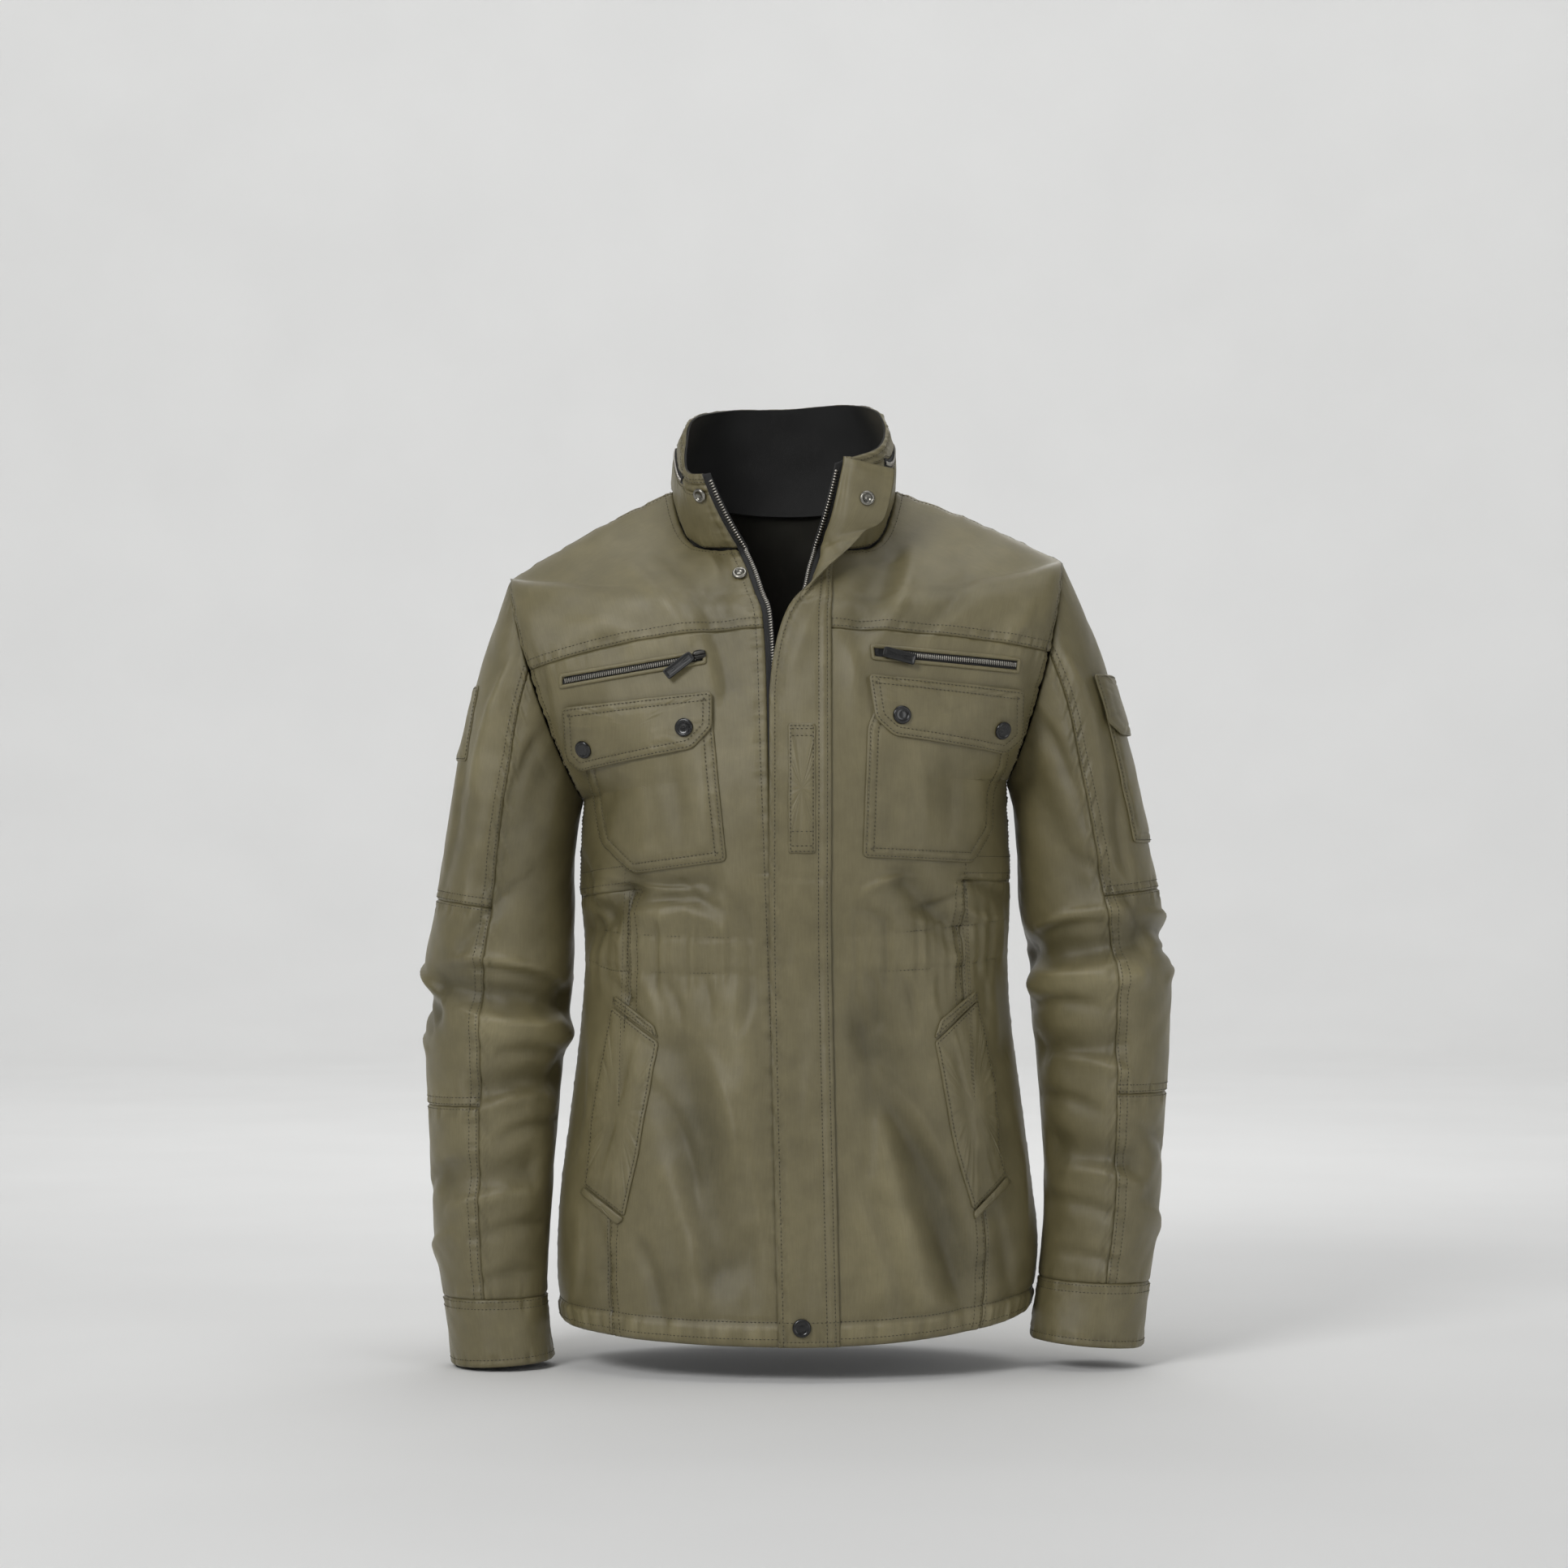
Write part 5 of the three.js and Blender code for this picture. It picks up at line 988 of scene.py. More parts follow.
def patch(name, outline, place, nodes, out=0.3, wall=PATCH_CLOTH, corner=4, scale=(1, 1), stitched=(2, 7), crown=0.0,
          slot_name="cloth", step=SMALL_STEP, flare=0.0, folds=()):
    """A laid piece: rings of the outline from edge to middle, closed below, its edge rolled down.

    `flare` lifts it more and more towards its foot, as the square of the way down."""
    scale = np.array(scale, float)
    loop = rounded(np.array(outline, float) * scale, corner, step)
    middle = loop.mean(0)
    room = np.linalg.norm(loop - middle, axis=1).min()
    depths = np.array([d for d in (0, 0.4, 1.0, 1.8, 2.6, 4.0, 5.6, 7.0, 8.6) if d < room * 0.8]) / room
    inner = np.linspace(depths[-1], 1, max(3, round(room * (1 - depths[-1]) / 3)))[1:-1]
    share = np.concatenate([depths, inner])
    rings = loop[None] + (middle - loop)[None] * share[:, None, None]
    depth = share[:, None] * room * np.ones(len(loop))[None]
    run = np.linalg.norm(np.roll(loop, -1, 0) - loop, axis=1).cumsum()[None]
    top_z, foot_z = loop[:, 1].max(), loop[:, 1].min()

    relief = -0.9 * groove(depth, 0.8)
    for line in stitched:
        relief = relief - 0.6 * groove(depth - line, 0.8)
    relief = relief + 0.35 * ripple(run, len(name)) * groove(depth - 4, 5)
    own = fold_height(folds, rings[..., 0], rings[..., 1]) * np.minimum(1, depth / 8)
    crowned = crown * np.minimum(1, depth / 12)

    def laid(grid, lift):
        """Places of the outline's own plane, set on the cloth with a lift and the flare."""
        flared = flare * ((top_z - grid[..., 1]) / (top_z - foot_z)) ** 2
        return place(grid[..., 0] / scale[0], grid[..., 1] / scale[1], out + lift + flared)

    face, normal = laid(rings, wall + relief + crowned + own)
    under, tip, root = laid(rings, 0)[0], laid(middle, wall + crown)[0], laid(middle, 0)[0]
    number, following, quads = ring_faces(*rings.shape[:2])
    total = number.size
    rim = np.stack([number[0], number[0] + total + 1, following[0] + total + 1, following[0]], -1)
    top = np.concatenate([split(quads), fan(number[-1], following[-1], total)])
    faces = np.concatenate([top, split(rim), (top + total + 1)[:, ::-1]])
    points = np.concatenate([face.reshape(-1, 3), tip.reshape(1, 3), under.reshape(-1, 3), root.reshape(1, 3)])
    flat = np.concatenate([rings.reshape(-1, 2), middle[None]] * 2)
    # Painted shade for the cloth's colour: lighter on the piece's ridges, darker in its grooves and folds.
    fold_shade_and_edge_wear = np.concatenate([np.clip(relief / 4 + own / 9, -1, 1).ravel(), [0]])
    piece = make_mesh(name, points, outwards(faces, points, top, normal), flat, np.concatenate([fold_shade_and_edge_wear, 0 * fold_shade_and_edge_wear]))
    settle(piece, nodes, slot_name)
    centred = loop - middle
    along = np.linalg.svd(centred, full_matrices=False)[2]
    turned = 0.75 * wall  # the cloth that goes round the edge belongs to the cut
    size = np.ptp(centred @ along.T, 0)[::-1] * 0.001 + turned * 0.002
    CLOTH_PIECES.append((piece, tuple(size), (loop_area(loop) + run[0, -1] * turned) * 1e-6))


FRONT_TRIM = {
    "right": {
        "pocket": [
            (-59, -196), (-47.5, -313), (-125, -324), (-150, -299), (-156, -269), (-165, -225), (-166, -206)],
        "flap": [(-181, -188), (-177, -227), (-165, -237), (-74, -223), (-58.5, -206), (-58.5, -177)],
        "frame": [(-184, -161), (-64, -142.3), (-63.4, -154.2), (-184, -173.3)],
        "welt": [(-142, -432), (-160, -526), (-164, -579), (-131, -602), (-119, -550), (-104, -460)],
        "welt_top": [(-140, -423), (-106, -447), (-103.6, -457), (-140.6, -430.7)],
        "welt_bottom": [(-164.5, -580.5), (-131, -603.8), (-136.6, -609), (-167, -586)],
        "pocket_folds": [
            (-140, -240, -148, -296, 3, 7, -1.6), (-120, -236, -112, -310, 3, 8, 1.4),
            (-92, -230, -84, -300, 3, 8, -1.5), (-70, -226, -66, -300, 2, 6, 1.1), (-130, -300, -90, -316, 3, 6, 1.0)],
        "flap_folds": [
            (-150, -190, -138, -226, 2, 5, -0.8), (-112, -184, -104, -220, 2, 6, 0.9),
            (-90, -180, -82, -214, 2, 5, -0.7)],
        "welt_folds": [(-128, -470, -148, -560, 2, 3.4, -1.7), (-118, -466, -136, -566, 2, 3.4, 1.2)],
        "zip": ((-179, -166.6), (-72, -149.4)),
        "casing": [[(-157, -371), (-99, -374), (-45, -375)], [(-161, -395), (-144, -403), (-45, -404)]],
    },
    "left": {
        "pocket": [
            (72, -190), (66, -205), (62, -310), (152.5, -314.6), (169, -288), (170, -258), (180, -236), (185, -205)],
        "flap": [(66.7, -163), (71.3, -199), (85.8, -212.3), (176, -223.5), (191.4, -211), (193.4, -174)],
        "frame": [(67.3, -138), (191.4, -147.6), (190, -161), (69.3, -151.2)],
        "welt": [
            (157, -427), (171.6, -492), (175.6, -550), (180, -569.5), (153, -596.6), (138, -550), (121, -460)],
        "welt_top": [(155, -419), (125.4, -442), (120.8, -457), (157, -426)],
        "welt_bottom": [(180.5, -571.5), (153.5, -598.7), (154.4, -605), (183.6, -577)],
        "pocket_folds": [
            (84, -222, 80, -296, 2, 7, -1.4), (104, -224, 110, -300, 3, 8, 1.4),
            (132, -226, 128, -304, 3, 8, -1.5), (152, -232, 158, -286, 2, 6, 1.3)],
        "flap_folds": [
            (100, -168, 104, -206, 2, 5, -0.7), (132, -170, 128, -212, 2, 6, 0.9),
            (160, -174, 166, -212, 2, 5, -0.8)],
        "welt_folds": [(132, -451, 153, -549, 2, 3.4, -1.7), (144, -446, 164, -545, 2, 3.4, 1.2)],
        "zip": ((82, -145.6), (187, -153.6)),
        "casing": [[(66, -372), (137, -368), (183, -361)], [(67, -403), (144, -399), (182, -392)]],
    },
}
FLAP_FLARE = 2.4
TRIM_STYLE = {  # what each laid piece of a front is called, and how it is laid
    "pocket": ("chest_pocket", dict(crown=1.2)),
    "flap": ("chest_flap", dict(out=2.6, wall=FLAP_CLOTH, crown=0.8, flare=FLAP_FLARE)),
    "welt": ("welt", dict(corner=2, stitched=(2,))),
    "welt_top": ("welt_top", dict(wall=2.6, corner=1, stitched=(2,))),
    "welt_bottom": ("welt_bottom", dict(wall=2.6, corner=1, stitched=())),
}
for word, trim in FRONT_TRIM.items():
    for part, (node, style) in TRIM_STYLE.items():
        folds = trim.get(f"{part}_folds", ())
        patch(f"cloth_{node}_{word}", trim[part], on_front, [f"{node}_{word}"], folds=folds, **style)
    print(word, "front:", ", ".join(TRIM_STYLE))

SLEEVE_SCALE = (COLUMN_WIDTH, 1)
left_sleeve, right_sleeve = on_sleeve(LEFT_SIDE), on_sleeve(RIGHT_SIDE)
SLEEVE_TRIM = {  # outline by ring column and z, the sleeve, how it is laid, and how high its thread lies
    "sleeve_pocket": ([(8.3, -182), (13.8, -182), (13.8, -298), (8.3, -298)], left_sleeve, dict(crown=0.8), 2.35),
    "sleeve_pocket_flap": ([(8, -160), (14.1, -160), (14.1, -200), (13.4, -210), (8.8, -210), (8, -200)],
                           left_sleeve, dict(out=2.6, crown=0.5, flare=2.5), 4.7),
    "sleeve_badge": ([(9.4, -168), (12.6, -168), (12.6, -230), (9.4, -230)], right_sleeve,
                     dict(wall=1.2, stitched=(1.8,)), 1.3),
}
for node, (outline, place, style, _) in SLEEVE_TRIM.items():
    patch(f"cloth_{node}", outline, place, [node], scale=SLEEVE_SCALE, **style)

# %% [markdown]
# The chest zips sit in a sewn frame with a long opening. The frame is a strip carried round the opening's
# edge, and the zip's tape with its teeth lies in the opening.

# %% Chest zip frames and the storm flap's tab
FRAME_WIDTH, FRAME_CORNER, FRAME_STEP = 3.2, 2.5, 2.0


def strip_round(name, outline, width, place, nodes, out=0.3, wall=1.6):
    """A band round a closed outline: five lines from its outer to its inner edge, crowned between."""
    loop = rounded(outline, FRAME_CORNER, FRAME_STEP)
    rings = np.stack([inset(loop, width * across) for across in (0, 0.12, 0.5, 0.88, 1)])
    crown = np.array([-0.9, 0, 0.35, 0, -0.9])[:, None]
    face, normal = place(rings[..., 0], rings[..., 1], out + wall + crown)
    under, _ = place(rings[..., 0], rings[..., 1], np.full(rings.shape[:2], out))
    number, following, quads = ring_faces(*rings.shape[:2])
    total = number.size
    outer_rim = np.stack([number[0], number[0] + total, following[0] + total, following[0]], -1)
    inner_rim = np.stack([following[-1], following[-1] + total, number[-1] + total, number[-1]], -1)
    points = np.concatenate([face.reshape(-1, 3), under.reshape(-1, 3)])
    faces = np.concatenate([quads, (quads + total)[:, ::-1], outer_rim, inner_rim])
    faces = outwards(faces, points, quads[:, [0, 1, 3]], normal)
    piece = make_mesh(name, points, faces, np.concatenate([rings.reshape(-1, 2)] * 2))
    settle(piece, nodes, "cloth")
    size = ((len(loop) + 1) * FRAME_STEP * 0.001, width * 0.00105)
    CLOTH_PIECES.append((piece, size, (loop_area(loop) - loop_area(rings[-1])) * 1e-6))


for word, trim in FRONT_TRIM.items():
    strip_round(f"cloth_chest_zip_frame_{word}", trim["frame"], FRAME_WIDTH, on_front, [f"chest_zip_frame_{word}"])
    opening = inset(rounded(trim["frame"], FRAME_CORNER, FRAME_STEP), FRAME_WIDTH - 0.2)
    patch(f"tape_chest_zip_{word}", opening[::4], on_front, [f"chest_zip_{word}"], wall=0.8, corner=1, stitched=(),
          slot_name="zip_tape", step=3)


def on_flap(x, z, out=0.0):
    """Points on the storm flap's face: the flap lies flat there, 3.3 mm over the front."""
    return on_front(x, z, np.asarray(out) + FLAP_SEAT + FLAP_CLOTH / 2)


FLAP_TAB = [(2, -203), (24, -203), (24, -307), (2, -307)]
patch("cloth_storm_flap_tab", FLAP_TAB, on_flap, ["storm_flap_tab"], out=0.2, wall=1.2, corner=2, stitched=(2,))
print(len(CLOTH_PIECES), "pieces of cloth so far")

# %% [markdown]
# A line of stitches is a row of short thread loops, each a few millimetres long and sunk a little at its
# ends. Thousands of them show, so one stitch is a small spindle of eight faces, and a whole seam's stitches
# are one mesh: the spindle's six points are placed along the line by whole-array sums.

# %% Thread
HARD_PIECES = []


def evenly(points, normals, pitch):
    """Places every `pitch` millimetres along a line, with the direction and the normal there."""
    points, normals = np.asarray(points, float), np.asarray(normals, float)
    run = run_along(points)
    count = max(1, int(run[-1] / pitch))
    at = (np.arange(count) + 0.5) * run[-1] / count
    along = unit(at_runs(points, run, at + 0.8) - at_runs(points, run, at - 0.8))
    return at_runs(points, run, at), along, unit(at_runs(normals, run, at))


def repeated(corners, one):
    """Vertices and faces of many small solids: their corners as a grid, and the faces of one."""
    corners = np.stack(corners, 1)
    faces = one[None] + corners.shape[1] * np.arange(len(corners))[:, None, None]
    return corners.reshape(-1, 3), faces.reshape(-1, 3)


def spindles(points, normals, pitch=3.3, length=2.5, thick=0.42, up=0.2):
    """Vertices and faces of a line of stitches: two tips and a square waist each."""
    place, along, normal = evenly(points, normals, pitch)
    across = unit(np.cross(along, normal))
    place = place + normal * up
    shape = [along * length / 2 - normal * 0.25, across * thick, normal * thick, -across * thick, -normal * thick,
             -along * length / 2 - normal * 0.25]
    one = np.array([(0, 1, 2), (0, 2, 3), (0, 3, 4), (0, 4, 1), (5, 2, 1), (5, 3, 2), (5, 4, 3), (5, 1, 4)])
    return repeated([place + offset for offset in shape], one)


def joined(name, parts, finish, slot_name, body_name=ON_JACKET, nodes=()):
    """One object from several (vertices, faces) pairs."""
    starts = np.cumsum([0] + [len(vertices) for vertices, _ in parts])
    vertices = np.concatenate([vertices for vertices, _ in parts])
    faces = np.concatenate([faces + start for (_, faces), start in zip(parts, starts)])
    piece = make_mesh(name, vertices, faces, vertices[:, :2])
    settle(piece, nodes, slot_name, body_name)
    HARD_PIECES.append((piece, finish))


def seam(*stitch_lines):
    """Stitches along one or several lines, each a pair of points and normals."""
    return [spindles(*line) for line in stitch_lines]


def beside(panel, text):
    """Lines on a panel, written as pairs of an edge and the distance from it."""
    words = text.split()
    return [panel.beside(edge, float(distance)) for edge, distance in zip(words[::2], words[1::2])]


def front_line(places, step=2.5):
    """A line on the front, from a few places seen from the front, with a soft bend at each."""
    places = np.array(places, float)
    run = run_along(places)
    line = at_runs(places, run, np.linspace(0, run[-1], max(2, int(run[-1] / step))))
    if len(line) > 9:
        kernel = np.ones(5) / 5
        line[2:-2] = np.stack([np.convolve(column, kernel, "valid") for column in line.T], -1)
    return on_front(line[:, 0], line[:, 1], 0.05)


def ring_line(loop, place, distance, out, scale=(1, 1), flare=0.0):
    """A closed line at a distance inside an outline, on the piece's own face and with its flare."""
    top, foot = loop[:, 1].max(), loop[:, 1].min()
    line = inset(loop, distance)
    line = np.vstack([line, line[:1]])
    flared = flare * ((top - line[:, 1]) / (top - foot)) ** 2
    return place(line[:, 0] / scale[0], line[:, 1] / scale[1], out + flared)


HEM_STITCHES = "bottom 6.5 bottom 20"
FRONT_STITCHES = {
    "yoke": "bottom 2.2 bottom 8.4 top 6.5 right 6.5 left 6.5",
    "front": f"left 6.5 {HEM_STITCHES} right 3.0 right 9.5",
    "side": f"{HEM_STITCHES} left 1.8",
}
SLEEVE_STITCHES = {
    "upper": "bottom 2.2 bottom 7.5 left 2.2 left 8.5",
    "elbow": "top 2.2 bottom 2.2 bottom 7.5 left 2.2 left 8.5",
    "lower": "left 2.2 left 8.5 top 2.2",
    "cuff": "top 2.2 top 8.0 bottom 6.0",
}
threads = {}
for word in ("right", "left"):
    threads[f"front_{word}"] = seam(*[
        line for part, text in FRONT_STITCHES.items() for line in beside(fronts[word][part], text)])
    threads[f"sleeve_{word}"] = seam(*[
        line for part, text in SLEEVE_STITCHES.items() for line in beside(sleeves[word][part], text)])
threads["back"] = seam(*beside(back_yoke, "bottom 2.2 bottom 8.4"), *beside(back, f"top 2.2 {HEM_STITCHES}"),
                       *beside(back_yoke, "top 2.2"))
threads["collar"] = seam(*beside(collar_upper, "top 4.5"), *beside(collar_lower, "bottom 2.2 top 2.0"),
                         *beside(collar_upper, "bottom 2.0"))
threads["storm_flap"] = seam(*beside(flap, "left 3.5 left 10.5 right 4.5 bottom 4.5 bottom 20"))

for word, trim in FRONT_TRIM.items():
    pocket, chest_flap, welt = rounded(trim["pocket"], 4), rounded(trim["flap"], 4), rounded(trim["welt"], 2)
    threads[f"pocket_{word}"] = seam(
        ring_line(pocket, on_front, 2.0, 3.35), ring_line(pocket, on_front, 8.0, 3.3),
        ring_line(chest_flap, on_front, 2.0, 5.2, flare=FLAP_FLARE),
        ring_line(chest_flap, on_front, 7.0, 5.7, flare=FLAP_FLARE),
        ring_line(welt, on_front, 2.0, 2.0), ring_line(rounded(trim["welt_top"], 1), on_front, 2.0, 2.6),
        *[front_line(places) for places in trim["casing"]])
threads["storm_flap_tab"] = seam(
    ring_line(rounded(FLAP_TAB, 2), on_flap, 2.0, 1.1),
    *[on_flap(np.linspace(4, 22, 9), np.full(9, z), 1.45) for z in (-207.5, -213.0, -289.0, -300.5)])
threads["sleeve_trim"] = seam(*[
    ring_line(rounded(np.array(outline) * SLEEVE_SCALE, 4), place, 2.0, out, SLEEVE_SCALE)
    for outline, place, _, out in SLEEVE_TRIM.values()])
for name, parts in threads.items():
    joined(f"thread_{name}", parts, "thread", "cloth")
print("stitches:", sum(len(v) // 6 for parts in threads.values() for v, _ in parts))

# %% [markdown]
# Zip teeth are small metal blocks clamped on the tape's edge, about two millimetres apart. Here one tooth
# is a block that narrows towards its tip, and the row is made by the same sums as the thread.

# %% Zip teeth
def teeth(points, normals, towards, pitch, reach, wide, tall, up, back=0.8):
    """Blocks along a line that stick out sideways; `towards` is 1 or -1 for the side that they reach to."""
    place, along, normal = evenly(points, normals, pitch)
    across = unit(np.cross(along, normal)) * towards
    corners = []
    for a, n in ((0.5, -0.5), (0.5, 0.5), (-0.5, 0.5), (-0.5, -0.5)):
        for c, shrink in ((-back, 1.0), (reach - back, 0.62)):
            corners.append(place + along * a * wide * shrink + normal * (n * tall * shrink + up) + across * c)
    one = np.array([(0, 1, 3), (0, 3, 2), (2, 3, 5), (2, 5, 4), (4, 5, 7), (4, 7, 6), (6, 7, 1), (6, 1, 0),
                    (1, 7, 5), (1, 5, 3), (0, 2, 4), (0, 4, 6)])
    return repeated(corners, one[:, ::-1] if towards > 0 else one)


FRONT_TEETH = dict(pitch=2.35, reach=3.2, wide=1.5, tall=1.6, up=0.5)
HOOD_TEETH = dict(pitch=2.0, reach=2.2, wide=1.2, tall=1.0, up=0.5, back=0.6)
CHEST_TEETH = dict(pitch=1.7, reach=2.4, wide=1.05, tall=1.0, up=0.3, back=0.5)
TAPE_TOP, TOOTH_COLUMN = -0.92, 0.12
for word, towards in (("right", 1), ("left", -1)):
    tape = tapes[word]
    k = round(TOOTH_COLUMN * (tape.face.shape[1] - 1))
    down = tape.rows >= TAPE_TOP
    row_of_teeth = teeth(tape.face[down, k], tape.normals[down, k], towards, **FRONT_TEETH)
    joined(f"teeth_front_{word}", [row_of_teeth], "teeth", "zip_metal")
middle_row = hood_tape.face.shape[0] // 2
hood = hood_tape.face[middle_row], hood_tape.normals[middle_row]
both_sides = [teeth(*hood, towards, **HOOD_TEETH) for towards in (1, -1)]
joined("teeth_hood_zip", both_sides, "teeth", "zip_metal")
for word, trim in FRONT_TRIM.items():
    line = on_front(*np.linspace(*trim["zip"], 60).T, 1.3)
    both_sides = [teeth(*line, towards, **CHEST_TEETH) for towards in (1, -1)]
    joined(f"teeth_chest_zip_{word}", both_sides, "teeth", "zip_metal")
print("teeth:", sum(len(p.data.vertices) // 8 for p, f in HARD_PIECES if f == "teeth"))

# %% [markdown]
# A snap is a turned part: a cap with a rolled rim and a sunk face, or on the inner side of a flap an open
# ring. A turned part is a profile carried round an axis, so it is one grid, closed at its poles.

# %% Snaps
def capped(points, low, high):
    """Vertices and triangles of a solid made of rings of points, closed by a fan at either end."""
    number, following, quads = ring_faces(*points.shape[:2])
    faces = np.concatenate([split(quads), fan(following[0], number[0], number.size),
                            fan(number[-1], following[-1], number.size + 1)])
    return np.concatenate([points.reshape(-1, 3), [low, high]]), faces


def turned(centre, normal, profile, sides=36):
    """Radius and height pairs carried round the normal: a surface of revolution."""
    first = unit(np.cross(normal, [0, 0, 1.0]))
    turn = np.linspace(0, 2 * np.pi, sides, endpoint=False)
    radius, height = np.array(profile, float).T
    ring = np.cos(turn)[:, None] * first + np.sin(turn)[:, None] * np.cross(normal, first)
    points = centre + radius[:, None, None] * ring[None] + height[:, None, None] * normal
    return capped(points, centre + normal * height[0], centre + normal * height[-1])


CAP_PROFILE = [(7.0, 0.0), (7.5, 0.4), (7.55, 1.0), (7.3, 1.7), (6.8, 2.25), (6.0, 2.5), (5.3, 2.42), (4.9, 2.1),
               (4.6, 1.95), (2.4, 2.15), (0.4, 2.2)]
RING_PROFILE = [(6.0, 0.0), (6.2, 0.5), (6.0, 1.3), (5.4, 1.9), (4.6, 2.1), (3.9, 1.8), (3.6, 1.1), (3.5, 0.6),
                (0.4, 0.5)]
SEATED = 1.2  # a flap's cap sits above its node, on the crowned cloth


def node_points(name):
    """The corners of a frame node in millimetres."""
    mesh = frame["nodes"][name].data
    points = np.empty(len(mesh.vertices) * 3)
    mesh.vertices.foreach_get("co", points)
    return points.reshape(-1, 3) * 1000


def snap(name, profile, finish, slot_name, push=0.0):
    """A turned snap in the place of its node, on the foot of the node's own axis, its flattest direction."""
    points = node_points(name)
    corners = np.unique(points.round(3), axis=0)
    middle = corners.mean(0)
    normal = np.linalg.svd(corners - middle, full_matrices=False)[2][2]
    normal = unit(normal * (-1 if normal[1] > 0 else 1))
    foot = middle + normal * (((points - middle) @ normal).min() + push)
    joined(f"snap_{name}", [turned(foot, normal, profile)], finish, slot_name, nodes=[name])


for word in ("right", "left"):
    for number in (1, 2):
        snap(f"flap_snap_{word}_{number}", CAP_PROFILE, "cap", "snap_cap", SEATED)
snap("hem_snap", CAP_PROFILE, "cap", "snap_cap")
for name in ("placket_snap", "collar_snap", "storm_flap_snap"):
    snap(name, RING_PROFILE, "ring", "snap_ring")
print("8 snaps")

# %% [markdown]
# A slider is a small cast body with a bridge over it, and its pull tab is a long plate with a raised rim.
# The tab is the one thing here that moves by itself, so it rides on its own body and turns with it. The
# joint's axis runs across the tab, and the tab's largest flat face gives the way out of it.

# %% Sliders and pull tabs
def plate(centre, axes, outline, levels):
    """Rings of one outline, each at an inset and a height, closed by a fan below and above."""
    x_way, y_way, z_way = axes
    loops = [(inset(outline, distance), height) for distance, height in levels]
    points = np.array([
        centre + ring[:, :1] * x_way + ring[:, 1:] * y_way + height * z_way for ring, height in loops])
    vertices, faces = capped(points, points[0].mean(0), points[-1].mean(0))
    return vertices, faces[:, ::-1] if np.dot(np.cross(x_way, y_way), z_way) < 0 else faces


def bar(path, thick, sides=8):
    """A round bar along a path: a circle carried along it, closed at both ends."""
    along = unit(np.gradient(path, axis=0))
    first = unit(np.cross(along, unit(path.mean(0)[None] * [1, 1, 0.2])))
    second = np.cross(along, first)
    turn = np.linspace(0, 2 * np.pi, sides, endpoint=False)[None, :, None]
    points = path[:, None] + thick * (np.cos(turn) * first[:, None] + np.sin(turn) * second[:, None])
    vertices, faces = capped(points, path[0], path[-1])
    return vertices, faces[:, ::-1] if (np.cross(second, along) * first).sum() > 0 else faces


def extent(name, centre, axes):
    """A node's least and greatest reach from a centre along three axes."""
    reach = (node_points(name) - centre) @ axes.T
    return reach.min(0), reach.max(0)


def tab_axes(word):
    """The pivot of a pull tab, and its axes: across it, along it, and out of its largest flat face."""
    joint = next(joint for joint in frame["joints"] if joint["child"] == f"pull_tab_{word}")
    forward_faces = [face for face in frame["nodes"][f"pull_tab_{word}"].data.polygons if face.normal.y < 0]
    x_way, z_way = np.array(joint["axis"]), np.array(max(forward_faces, key=lambda face: face.area).normal)
    return np.array(joint["pos_m"]) * 1000, np.array([x_way, np.cross(z_way, x_way), z_way])


def tab_part(pivot, axes, word):
    """A plate with a narrower end at the slider and a rim round a sunk face."""
    (x0, y0, z0), (x1, y1, z1) = extent(f"pull_tab_{word}", pivot, axes)
    corners = [(x0 + 0.9, y0), (x1 - 0.9, y0), (x1, y0 + 3), (x1, y1), (x0, y1), (x0, y0 + 3)]
    levels = [(0.7, z0), (0.15, z0 + 0.15), (0, z0 + 0.5), (0, z1 - 0.55), (0.2, z1 - 0.15), (0.6, z1),
              (1.1, z1 - 0.02), (1.5, z1 - 0.4), (3.2, z1 - 0.42)]
    return plate(pivot, axes, rounded(corners, 1.6, 1.0), levels)


def slider_parts(word, normal, tail):
    """A body that is broad at the teeth's open end, and a bridge over it."""
    start, end = FRONT_TRIM[word]["frame"][:2]
    zip_way = np.array([end[0] - start[0], 0, end[1] - start[1]], float)
    zip_way = unit(zip_way - normal * (zip_way @ normal))
    axes = np.array([zip_way, np.cross(normal, zip_way), normal])
    points = node_points(f"chest_slider_{word}")
    middle = (points.max(0) + points.min(0)) / 2
    (x0, y0, z0), (x1, y1, z1) = extent(f"chest_slider_{word}", middle, axes)
    shape = [(x1, y0 * 0.62), (x1, y1 * 0.62), (x1 * 0.2, y1), (x0 * 0.7, y1 * 0.9), (x0, y1 * 0.4), (x0, y0 * 0.4),
             (x0 * 0.7, y0 * 0.9), (x1 * 0.2, y0)]
    levels = [(0.6, z0), (0, z0 + 0.35), (0, z0 + 1.1), (0.5, z1 - 0.75), (1.4, z1 - 0.55), (2.0, z1 - 0.5)]
    arch = np.linspace(0, np.pi, 15)[:, None]
    bridge = middle + zip_way * np.cos(arch) * 4.2 + normal * (z1 - 1.1 + 1.25 * np.sin(arch) ** 0.6)
    return [plate(middle, axes, rounded(np.array(shape) * (tail, 1), 1.5, 0.9), levels), bar(bridge, 0.75)]


for word, tail in (("right", 1), ("left", -1)):
    pivot, axes = tab_axes(word)
    tab, slider = f"pull_tab_{word}", f"chest_slider_{word}"
    joined(f"tab_pull_{word}", [tab_part(pivot, axes, word)], "tab", "pull_tab", tab, [tab])
    joined(f"slider_chest_{word}", slider_parts(word, axes[2], tail), "slider", "zip_metal", nodes=[slider])
print(len(HARD_PIECES), "small pieces of thread, metal and plastic")

# %% [markdown]
# Materials are small programs of nodes. To keep them readable, shader maths is written as expressions:
# `Value` wraps a socket, and each operator adds the Math node that it stands for.

